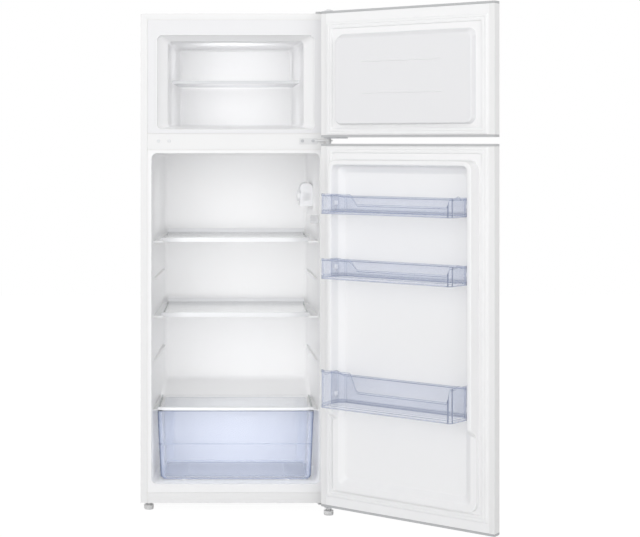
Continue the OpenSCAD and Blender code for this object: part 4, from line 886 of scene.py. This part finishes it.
def freezer_door_sheet():
    """The flat sheet, and the cushion as a stack that rises with t from 0 to 1: its foot tapers, its top
    slopes away from the panel, and over the last fifth it rounds over as a quarter of a sine."""
    node = "freezer_door_liner"
    tall_p = HIGH[node][1] - PANEL
    half = HIGH["cabinet_shell"][0] - CUSHION_SIDE
    outer = centred(half, CUSHION_LOW, CUSHION_HIGH)
    sides = steps_for(outer, 8)
    rings = [upright_ring(rounded(outer, CUSHION_RADIUS, sides), PANEL - 0.5)]
    for t in np.linspace(0, 1, 9):
        ease = CUSHION_EASE * smooth(t, 0.75, 1)
        corners = centred(half - CUSHION_TAPER * t - ease, CUSHION_LOW + 2 * t + ease,
                          CUSHION_HIGH - CUSHION_SLOPE * t - ease)
        rise = 1.12 * t if t < 0.8 else 0.896 + 0.104 * math.sin((t - 0.8) / 0.2 * math.pi / 2)
        rings.append(upright_ring(rounded(corners, CUSHION_RADIUS - 3 * t, sides), PANEL + tall_p * rise))
    return stack(flat_sheet(face_corners(node), sides)), stack(rings)


def pressed_line(half, z, p):
    """A raised line with round ends, 4 mm wide and 1.5 mm tall."""
    profile = [(0, -0.5), (0.1, 0.3), (0.5, 1.0), (1.0, 1.4), (1.5, 1.5)]
    profile = [(depth, PANEL + p + rise) for depth, rise in profile]
    return block(centred(half, z - 2, z + 2), 1.9, [24, 1, 24, 1], profile)


cushion_p = HIGH["freezer_door_liner"][1] - PANEL
cushion_middle = (CUSHION_LOW + CUSHION_HIGH) / 2
lines = [pressed_line(LINE_HALF, cushion_middle + place, cushion_p) for place in LINE_PLACES]
sheet_shell, cushion_shell = freezer_door_sheet()
freezer_sheet = add_piece("freezer_door_sheet", [sheet_shell], "freezer_door_liner")
freezer_cushion = add_piece("freezer_door_cushion", [cushion_shell] + lines, "freezer_door_liner")
freezer_cushion.data.materials[0] = FINISH["darker_sheet_plastic"]
print("freezer door sheet", len(freezer_sheet.data.polygons), len(freezer_cushion.data.polygons))

# %% [markdown]
# ## Gaskets
#
# A soft vinyl frame with a magnet in its hollow lip. Its section is a flat foot, a folded bellows
# and a rounded lip. A curve with a bevel profile could carry it round the door as well. Outlines
# that are drawn in and raised by the section's points give the mitred corners without more work.

# %% Gaskets
GASKET_SECTION = [(0.0, 0.1), (0.0, 1.0), (0.6, 1.7), (1.8, 1.9), (2.6, 2.5), (2.4, 3.3), (3.0, 4.0),
                  (4.4, 4.2), (7.4, 4.2), (8.2, 3.9), (8.7, 3.1), (9.4, 2.6), (10.2, 3.1), (10.8, 3.9),
                  (12.0, 4.2), (15.6, 4.2), (17.4, 3.9), (18.2, 3.0), (18.6, 2.2), (19.6, 1.8), (20.0, 1.0),
                  (20.0, 0.1)]


def gasket(node):
    """The section's points become outlines: each is the door's rectangle shrunk by the first number
    and raised by the second."""
    corners = face_corners(node)
    sides = steps_for(corners, 40)
    rings = [upright_ring(rounded(inset(corners, depth), 3.0, sides), PANEL + p)
             for depth, p in GASKET_SECTION]
    return add_piece(node + "_vinyl", [band(rings)], node, angle=50)


gaskets = [gasket("freezer_door_gasket"), gasket("fridge_door_gasket")]
print("gaskets", [len(piece.data.polygons) for piece in gaskets])

# %% [markdown]
# ## Compartment liners
#
# Both compartments are vacuum formed tubs with rounded corners. Cutting them out of a block would
# leave long thin triangles round the corners, and those show on a smooth wall. A tunnel of outlines
# from the mouth to the back keeps even quads, and a second skin closes the shell.

# %% Tunnel of outlines
FLANGE_EDGE = 0.3
BACK_ROUND = 12.0
FRIDGE_FRONT_HALF = 243.0
FRIDGE_RADIUS = 16
STEP_Y = 285.0
STEP_FRONT_Z = 287.0
STEP_BACK_Z = 318.0
STEP_RADIUS = 14.0
LIP_DEPTH = 16.0
FUNNEL_DEPTH = 40.0
LIP_RADIUS = 14
FREEZER_RADIUS = 12
WALL_SPACING = 14


def tunnel(rows, flange):
    """A tub from rows of (y, half, low, high, radius), front to back, with a flange round its mouth
    and a second skin behind it."""
    corners = [centred(half, low, high) for _, half, low, high, _ in rows]
    sides = steps_for(corners[0], WALL_SPACING)

    def ring(i, out):
        """Row i's outline, grown by out."""
        y, _, _, _, radius = rows[i]
        outline = rounded(inset(corners[i], -out), radius + out, sides)
        return upright_ring(outline, y + out * (i == len(rows) - 1))

    edge = rounded(flange, 3.0, sides)
    back = [ring(i, LINER_T) for i in range(len(rows) - 1, 1, -1)]
    rings = back + [upright_ring(edge, LINER_T), upright_ring(edge, FLANGE_EDGE),
                    upright_ring(rounded(inset(flange, FLANGE_EDGE), 3.0, sides), 0.0)]
    return stack(rings + [ring(i, 0) for i in range(len(rows))])


def mouth(half, low, high, radius, wide, less):
    """Three rows that round the mouth's edge: it opens out by wide at the very front."""
    return [(0.0, half + wide, low - wide, high + wide, radius + 1),
            (0.5, half + less, low - less, high + less, radius), (1.6, half, low, high, radius)]


def wall_half(y):
    """Half the fridge compartment's width at depth y: it narrows evenly from front to back."""
    back = HIGH["fridge_liner"][1] - LINER_T - BACK_ROUND
    back_half = hollow("fridge_liner", back - BACK_ROUND, back + BACK_ROUND)[1][0]
    return FRIDGE_FRONT_HALF - (FRIDGE_FRONT_HALF - back_half) * y / back


print("fridge half width, front and back", round(wall_half(0), 1), round(wall_half(420), 1))

# %% [markdown]
# ## The fridge compartment
#
# Its floor climbs over the compressor at the back. The outline's lower edge rises from row to row,
# so the step, its rounded edge and the slope behind it are only a few more rows.

# %% Fridge compartment
def fridge_tub():
    """The fridge compartment's rows. The floor climbs the step at the back, turns over its edge as a
    quarter circle and slopes on to the back wall."""
    low, high = FRIDGE_LOW[2], FRIDGE_HIGH[2]
    depth = HIGH["fridge_liner"][1] - LINER_T
    back = depth - BACK_ROUND
    r = STEP_RADIUS
    rows = mouth(FRIDGE_FRONT_HALF, low, high, FRIDGE_RADIUS, 1.6, 0.5)
    rows += [(y, wall_half(y), low, high, FRIDGE_RADIUS)
             for y in (4, 8, 20, 60, 120, 180, 240, STEP_Y - 8, STEP_Y - 3)]
    rows += [(STEP_Y - 0.6, wall_half(STEP_Y), low + 3, high, r),
             (STEP_Y, wall_half(STEP_Y), STEP_FRONT_Z - r, high, r)]
    rows += [(STEP_Y + r * (1 - math.cos(a)), wall_half(STEP_Y + r / 2),
              STEP_FRONT_Z - r * (1 - math.sin(a)), high, r) for a in np.linspace(0, math.pi / 2, 5)[1:]]
    slope = (STEP_BACK_Z - STEP_FRONT_Z) / (depth - STEP_Y)
    rows += [(y, wall_half(y), STEP_FRONT_Z + slope * (y - STEP_Y), high, r) for y in (330, 370, 400, back)]
    rows += [(back + t * BACK_ROUND, wall_half(back) - t * BACK_ROUND, STEP_BACK_Z - 1 + t * BACK_ROUND,
              high - t * BACK_ROUND, r - 6 * t) for t in (0.5, 1.0)]
    return tunnel(rows, face_corners("fridge_liner"))


fridge_inside = add_piece("fridge_tub", [fridge_tub()], "fridge_liner", angle=50)
print("fridge tub", len(fridge_inside.data.polygons))

# %% [markdown]
# ## The freezer compartment
#
# Behind a short straight lip a funnel narrows to the room inside. Each bend takes two rows close
# together, so that it shows as a soft line, as on a formed sheet.

# %% Freezer compartment
def freezer_tub():
    """The freezer compartment's rows: mouth, step, funnel, walls and rounded back."""
    node = "freezer_liner"
    room_low, room_high = hollow(node, FUNNEL_DEPTH - 1, 100)
    low, high = room_low[2], room_high[2]
    lip, lip_low, lip_high = LIP_HIGH[0], LIP_LOW[2], LIP_HIGH[2]
    depth = HIGH[node][1] - LINER_T
    back = depth - BACK_ROUND
    front_half = room_high[0]
    back_half = hollow(node, back - BACK_ROUND, back + BACK_ROUND)[1][0]

    def half(y):
        """Half the width between the funnel and the back, which narrows evenly."""
        return front_half - (front_half - back_half) * (y - FUNNEL_DEPTH) / (back - FUNNEL_DEPTH)

    rows = mouth(lip, lip_low, lip_high, LIP_RADIUS, 1.4, 0.4)
    rows += [(LIP_DEPTH - 2.0, lip, lip_low, lip_high, LIP_RADIUS),
             (LIP_DEPTH - 0.6, lip - 0.6, lip_low + 0.3, lip_high - 0.4, LIP_RADIUS),
             (LIP_DEPTH + 0.6, lip - 2.2, lip_low + 0.7, lip_high - 1.2, LIP_RADIUS),
             (FUNNEL_DEPTH - 2.0, front_half + 1.6, low - 0.5, high + 0.9, FREEZER_RADIUS),
             (FUNNEL_DEPTH - 0.4, front_half + 0.4, low - 0.1, high + 0.2, FREEZER_RADIUS)]
    rows += [(y, half(y), low, high, FREEZER_RADIUS)
             for y in (FUNNEL_DEPTH + 2, FUNNEL_DEPTH + 4, 50, 80, 160, 240, 320, back)]
    rows += [(back + t * BACK_ROUND, half(back) - t * BACK_ROUND, low + 8 * t, high - 8 * t,
              FREEZER_RADIUS - 6 * t) for t in (0.5, 1.0)]
    return tunnel(rows, face_corners(node))


freezer_inside = add_piece("freezer_tub", [freezer_tub()], "freezer_liner", angle=50)
print("freezer tub", len(freezer_inside.data.polygons))

# %% [markdown]
# ## The freezer's flange
#
# The flat flange round the mouth wears a slightly darker, rougher white than the rest of the tub.
# A second material on the same mesh is enough: the faces are picked by where their middles lie.

# %% Darker flange
def darker_flange(piece, depth):
    """Gives the flat flange, the faces whose middles lie in front of this depth, a slightly darker and
    rougher white."""
    faces = piece.data.polygons
    centres = np.zeros(len(faces) * 3)
    faces.foreach_get("center", centres)
    in_front = (centres.reshape(-1, 3)[:, 1] - CABINET[1]) / MM < depth
    piece.data.materials.append(FINISH["darker_sheet_plastic"])
    faces.foreach_set("material_index", in_front.astype(np.int32))
    return int(in_front.sum())


print("flange faces", darker_flange(freezer_inside, 0.2))

# %% [markdown]
# ## Shelf ribs
#
# The ribs are moulded in one with the wall, so they have no sharp edge anywhere. Those under a
# shelf keep the full reach they need to carry it. The spare ones are lower and run out softly at
# both ends, as a rib does that has to let the mould come away. A bevel on the CAD's ribs would
# round them, but could not make them run out.

# %% Shelf ribs
SPARE_PAIRS = (2, 4)
SPARE_REACH = 8.0
SPARE_RUN_OUT = 45.0
RUN_OUT = 9.0
BURIED = 0.5


def rib(side, bottom, top, inner, front, back, root, run_out):
    """Rings along y from front to back. The reach from the wall grows as 3t^2 - 2t^3 over run_out."""
    ys = np.concatenate([front + run_out * np.linspace(0, 1, 6), back - run_out * np.linspace(1, 0, 6)])
    grown = smooth(ys, front - 0.15 * run_out, front + run_out)
    grown = grown * (1 - smooth(ys, back - run_out, back + 0.15 * run_out))
    rings = []
    for y, share in zip(ys, grown):
        wall = root(y)
        reach = (wall - inner(y)) * share
        middle = side * (wall - reach / 2)
        ease = 0.25 * (1 - share) * (top - bottom)
        corners = rectangle(middle - reach / 2, middle + reach / 2, bottom + ease, top - ease)
        edge = 0.42 * min(reach, top - bottom - 2 * ease, 6.0)
        radii = [edge, 0.3, 0.3, edge] if side > 0 else [0.3, edge, edge, 0.3]
        rings.append(upright_ring(rounded(corners, radii, [2, 2, 2, 2]), y))
    return stack(rings)


def shelf_rib_pieces():
    """Every rib of the node, read from its own points: one pair of ribs for each pair of heights."""
    points = DRAWN["shelf_ribs"]
    heights = np.unique(points[:, 2].round(1)).reshape(-1, 2)
    shells = []
    for number, (bottom, top) in enumerate(heights):
        here = points[np.abs(points[:, 2] - top) < 0.2]
        reach_to, outermost = np.abs(here[:, 0]).min(), np.abs(here[:, 0]).max()
        front, back = here[:, 1].min(), here[:, 1].max()
        spare = number in SPARE_PAIRS
        root = (lambda y: outermost) if number == 0 else (lambda y: wall_half(y) + BURIED)
        inner = (lambda y: wall_half(y) - SPARE_REACH) if spare else (lambda y: reach_to)
        run_out = SPARE_RUN_OUT if spare else RUN_OUT
        shells += [rib(side, bottom, top, inner, front, back, root, run_out) for side in (-1, 1)]
    return shells


ribs = add_piece("moulded_ribs", shelf_rib_pieces(), "shelf_ribs", angle=50)
print("ribs", len(ribs.data.polygons))

# %% [markdown]
# ## Glass plates
#
# Toughened plates with ground edges. The ends of each plate show dark, because one looks into the
# glass along its width there. A tint through the whole plate would darken its face as well, so only
# a narrow band along the edges has it.

# %% Glass plates
END_TINT = 1.0
LONG_EDGE_TINT = 0.08


def glass_plate(node):
    """A plate whose rings go up round its ground edge; a narrow band along both ends is tinted."""
    low, high = LOW[node], HIGH[node]
    corners = rectangle(low[0], high[0], low[1], high[1])
    sides = steps_for(corners, 60)
    # how far the outline is drawn in, its height and its tint
    profile = [(9.0, low[2], 0.0), (3.2, low[2], 0.0), (3.0, low[2], 0.6), (0.6, low[2], 1.0),
               (0.0, low[2] + 0.6, 1.0), (0.0, high[2] - 0.6, 1.0), (0.6, high[2], 1.0),
               (3.0, high[2], 0.9), (3.2, high[2], 0.0), (9.0, high[2], 0.0)]
    rings, tints = [], []
    for depth, z, shade in profile:
        outline = rounded(inset(corners, depth), 2.0, sides)
        near_end = np.abs(outline[:, 0]) > high[0] - depth - 1.5
        rings.append(level_ring(outline, z))
        tints.append(shade * np.where(near_end, END_TINT, LONG_EDGE_TINT))
    return add_piece(node + "_plate", [stack(rings, tint=np.array(tints))], node, angle=50)


plates = [glass_plate(node) for node in ("shelf1_glass", "shelf2_glass", "cover_glass")]
print("plates", len(plates))

# %% [markdown]
# ## Freezer shelf
#
# A moulded shelf with a slim front lip: a bead on top, a hollow band below it and a lower edge. The
# lip's section is carried across the width and shrinks at both ends, which rounds them off without
# a bevel.

# %% Freezer shelf
LIP_SECTION = np.array([
    [8, 4], [8, 0.3], [4, 0], [1.0, 0], [0.2, 0.8], [0.2, 1.8], [1.6, 2.6], [2.2, 4.0], [1.8, 5.2],
    [0.3, 5.8], [0, 6.8], [0.3, 8.2], [1.4, 9.0], [3.0, 9.0], [4.4, 8.0], [5.2, 5.0], [6.2, 4.1]])
LIP_ENDS = np.array([0, 0.6, 2.0, 5.0])
LIP_END_SIZES = np.array([0.30, 0.72, 0.95, 1.0])


def freezer_shelf_piece():
    """The lip's section, carried across the width and shrunk about its middle towards both ends, and
    the plate behind it."""
    node = "freezer_shelf"
    low, high = LOW[node], HIGH[node]
    place = np.concatenate([low[0] + LIP_ENDS, np.linspace(low[0] + 10, high[0] - 10, 12),
                            high[0] - LIP_ENDS[::-1]])
    size = np.concatenate([LIP_END_SIZES, np.ones(12), LIP_END_SIZES[::-1]])
    middle = LIP_SECTION.mean(axis=0)
    rings = []
    for x, k in zip(place, size):
        section = low[1:] + middle + (LIP_SECTION - middle) * k
        rings.append(np.column_stack([np.full(len(section), x), section]))
    half = high[0] - 10
    front, z = low[1] + 7, low[2]
    corners = np.array([[-half - 8, front], [half + 8, front], [half, high[1]], [-half, high[1]]])
    sides = steps_for(corners, 30)
    plate = stack([level_ring(rounded(inset(corners, depth), 3.0, sides), z + rise)
                   for depth, rise in ((1.0, 0.2), (0, 1.0), (0, 3.2), (0.8, 4.0))])
    return add_piece("freezer_shelf_moulding", [stack(rings), plate], node, angle=45)


freezer_shelf = freezer_shelf_piece()
print("freezer shelf", len(freezer_shelf.data.polygons))

# %% [markdown]
# ## Lamp lens
#
# Behind the housing's four slots lies a milky lens, which spreads the bulb's light and shows pale
# between the bars. A glowing lens would look switched on, so it is plain white plastic, close
# enough behind the slots to catch the light from the room.

# %% Lamp lens
LENS_HALF_HEIGHT = 17


def lamp_lens():
    """A thin plate with rounded edges, close behind the slotted face."""
    low, high = LOW["lamp_housing"], HIGH["lamp_housing"]
    middle = (HIGH["thermostat_knob"][2] + LOW["thermostat_knob"][2]) / 2 - 2
    corners = rectangle(low[0] + 3.4, high[0] - 4.6, middle - LENS_HALF_HEIGHT, middle + LENS_HALF_HEIGHT)
    profile = [(0.4, low[1] + 4.2), (0, low[1] + 3.8), (0, low[1] + 2.6), (0.4, low[1] + 2.2)]
    return add_piece("lamp_lens", [block(corners, 2.5, [4, 4, 4, 4], profile)], "lamp_housing")


lens = lamp_lens()
finished_copy("lamp_housing", 0.7)
print("lens", len(lens.data.polygons))

# %% [markdown]
# ## Parts that keep their CAD shape
#
# Sheet steel, hinges, screws, trims and the machinery are already right in shape. Modelling them
# again would add nothing, so each gets only its real part's softened edges, in millimetres, and its
# finish. What lies inside closed walls is left as it is.

# %% Kept shapes
EDGE_WIDTHS = {
    0.0: ("condenser_wires", "condenser_tube", "drain_tube", "suction_pipe", "discharge_pipe"),
    0.2: ("freezer_door_skin", "fridge_door_skin"),
    0.3: ("cabinet_shell", "mid_rail", "base_plate", "back_panel", "recess_panel", "compressor_rail"),
    0.5: ("shelf1_trim", "shelf2_trim", "cover_trim"),
    0.6: ("switch_housing", "freezer_door_caps", "fridge_door_caps"),
    0.8: ("thermostat_knob",)}
USUAL_EDGE = 0.4
EDGE_OF = {node: width for width, nodes in EDGE_WIDTHS.items() for node in nodes}
UNSEEN = {"cabinet_foam", "freezer_evaporator", "fridge_evaporator", "freezer_door_foam", "fridge_door_foam"}
stood_for = {name for piece in bpy.data.objects for name in piece.get("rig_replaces", [])}
for node, solid in frame["nodes"].items():
    if node in stood_for:
        continue
    if node in UNSEEN:
        solid.data.materials.clear()
        solid.data.materials.append(FINISH[SLOT_OF[node]])
    else:
        finished_copy(node, EDGE_OF.get(node, USUAL_EDGE))
# The doors' end caps wear a grey that is painted shade, for the shadow line along their lower edges.
for node in ("freezer_door_caps", "fridge_door_caps"):
    bpy.data.objects[node + "_finished"].data.materials[0] = FINISH["painted_shade_cap_plastic"]
print("kept shapes", len(frame["nodes"]) - len(stood_for))

# %% [markdown]
# ## Surround
#
# A white surround, as in a product picture. It is pure white where the camera or a mirroring
# surface sees it, and dimmer where it only lights, since at full strength it would wash all shades
# out of the white parts.

# %% Surround
world = bpy.data.worlds.new("surround")
bpy.context.scene.world = world
world.use_nodes = True
tree = world.node_tree
shown = tree.nodes["Background"]
shown.inputs["Color"].default_value = (1, 1, 1, 1)
shown.inputs["Strength"].default_value = 1.0
fill = tree.nodes.new("ShaderNodeBackground")
fill.inputs["Color"].default_value = (1, 1, 1, 1)
fill.inputs["Strength"].default_value = 0.58
path = tree.nodes.new("ShaderNodeLightPath")


def larger(a, b):
    """The larger of two answers that are 0 or 1: it is 1 when either of them is."""
    most = tree.nodes.new("ShaderNodeMath")
    most.operation = "MAXIMUM"
    tree.links.new(a, most.inputs[0])
    tree.links.new(b, most.inputs[1])
    return most.outputs[0]


mirrored = larger(path.outputs["Is Camera Ray"], path.outputs["Is Glossy Ray"])
choose = tree.nodes.new("ShaderNodeMixShader")
tree.links.new(larger(mirrored, path.outputs["Is Transmission Ray"]), choose.inputs["Fac"])
tree.links.new(fill.outputs[0], choose.inputs[1])
tree.links.new(shown.outputs[0], choose.inputs[2])
tree.links.new(choose.outputs[0], tree.nodes["World Output"].inputs["Surface"])
print("surround", shown.inputs["Strength"].default_value, fill.inputs["Strength"].default_value)

# %% [markdown]
# ## Lamps
#
# Two distant soft lamps light the front from the left and the right. They light near and far
# surfaces alike, so the lowest shelf is as bright as the highest. Deep compartments would still
# turn grey inside, so each space between two shelves has a soft light of its own, just behind the
# trims.

# %% Lamps
INNER_SPREAD = 135
ROOM_HALF = 172
ROOM_DEPTH = 50


def add_light(name, kind, strength):
    """A light of this kind and strength that leaves no highlight of its own on the part."""
    light = bpy.data.objects.new(name, bpy.data.lights.new(name, kind))
    light.data.energy = strength
    light.visible_glossy = False
    bpy.context.scene.collection.objects.link(light)
    return light


def wide_lamp(name, towards, strength, spread):
    """A distant soft lamp, which lights near and far surfaces alike, shining along this direction."""
    light = add_light(name, "SUN", strength)
    light.data.angle = math.radians(spread)
    light.rotation_euler = Vector(towards).to_track_quat("-Z", "Y").to_euler()


def inner_light(name, half, low, high, depth, watts):
    """A soft light that fills the space between two shelves from just behind their trims, facing the
    back wall, as light thrown in by pale walls in front does."""
    light = add_light(name, "AREA", watts)
    light.data.shape = "RECTANGLE"
    light.data.size = 2 * half * MM
    light.data.size_y = (high - low) * MM
    light.data.spread = math.radians(INNER_SPREAD)
    light.location = to_row([[0, depth, (low + high) / 2]], "fridge_liner")[0]
    light.rotation_euler = (math.pi / 2, 0, 0)
    light.visible_camera = False


wide_lamp("front_left_lamp", (0.52, 1.0, -0.14), 1.16, 50)
wide_lamp("front_right_lamp", (-0.62, 1.0, -0.10), 0.84, 60)
shelf_y = LOW["freezer_shelf"][1] + 16
shelf_z = LOW["freezer_shelf"][2]
drawer_low, drawer_high = LOW[DRAWER], HIGH[DRAWER]
# the light's name, the shelf below, the height where it ends and its watts
rooms = (("upper_fill", HIGH["shelf1_glass"][2], HIGH["fridge_liner"][2] - 50, 0.205),
         ("middle_fill", HIGH["shelf2_glass"][2], LOW["shelf1_trim"][2] - 5, 0.165),
         ("lower_fill", HIGH["cover_glass"][2], LOW["shelf2_trim"][2] - 5, 0.165))
for name, shelf_top, ceiling, watts in rooms:
    inner_light(name, ROOM_HALF, shelf_top + 9, ceiling, ROOM_DEPTH, watts)
inner_light("drawer_fill", 180, drawer_low[2] + 20, drawer_high[2] - 12, drawer_low[1] + 16, 0.11)
inner_light("drawer_front_fill", 238, drawer_low[2] - 10, drawer_high[2], 3, 0.34)
inner_light("freezer_upper_fill", 105, shelf_z + 30, HIGH["freezer_liner"][2] - 95, shelf_y, 0.21)
inner_light("freezer_lower_fill", 105, LOW["freezer_liner"][2] + 45, shelf_z - 20, shelf_y, 0.19)

# %% [markdown]
# ## Floor
#
# A pale floor that glows for the camera, so that it meets the surround without an edge, and that
# still takes a little shadow under the feet.

# %% Floor
FLOOR_HALF = 6
GLOW = 1.07
GLOW_SHARE = 0.90

floor_mesh = bpy.data.meshes.new("floor")
floor_corners = level_ring(centred(FLOOR_HALF, -FLOOR_HALF, FLOOR_HALF), 0.0)
floor_mesh.from_pydata(floor_corners, [], [(0, 1, 2, 3)])
floor = bpy.data.objects.new("floor", floor_mesh)
bpy.context.scene.collection.objects.link(floor)
floor_paint = finish("floor_paint", (0.92, 0.92, 0.92), 0.6, 0.004, 200, 0.02)
nodes, links = floor_paint.node_tree.nodes, floor_paint.node_tree.links
glow = nodes.new("ShaderNodeEmission")
glow.inputs["Strength"].default_value = GLOW
blend = nodes.new("ShaderNodeMixShader")
seen = nodes.new("ShaderNodeLightPath")
share = nodes.new("ShaderNodeMath")
share.operation = "MULTIPLY"
share.inputs[1].default_value = GLOW_SHARE
links.new(seen.outputs["Is Camera Ray"], share.inputs[0])
links.new(share.outputs[0], blend.inputs["Fac"])
links.new(nodes["Principled BSDF"].outputs[0], blend.inputs[1])
links.new(glow.outputs[0], blend.inputs[2])
links.new(blend.outputs[0], nodes["Material Output"].inputs["Surface"])
floor_mesh.materials.append(floor_paint)
bpy.context.scene.view_settings.view_transform = "Standard"
print("floor", 2 * FLOOR_HALF, "m square")
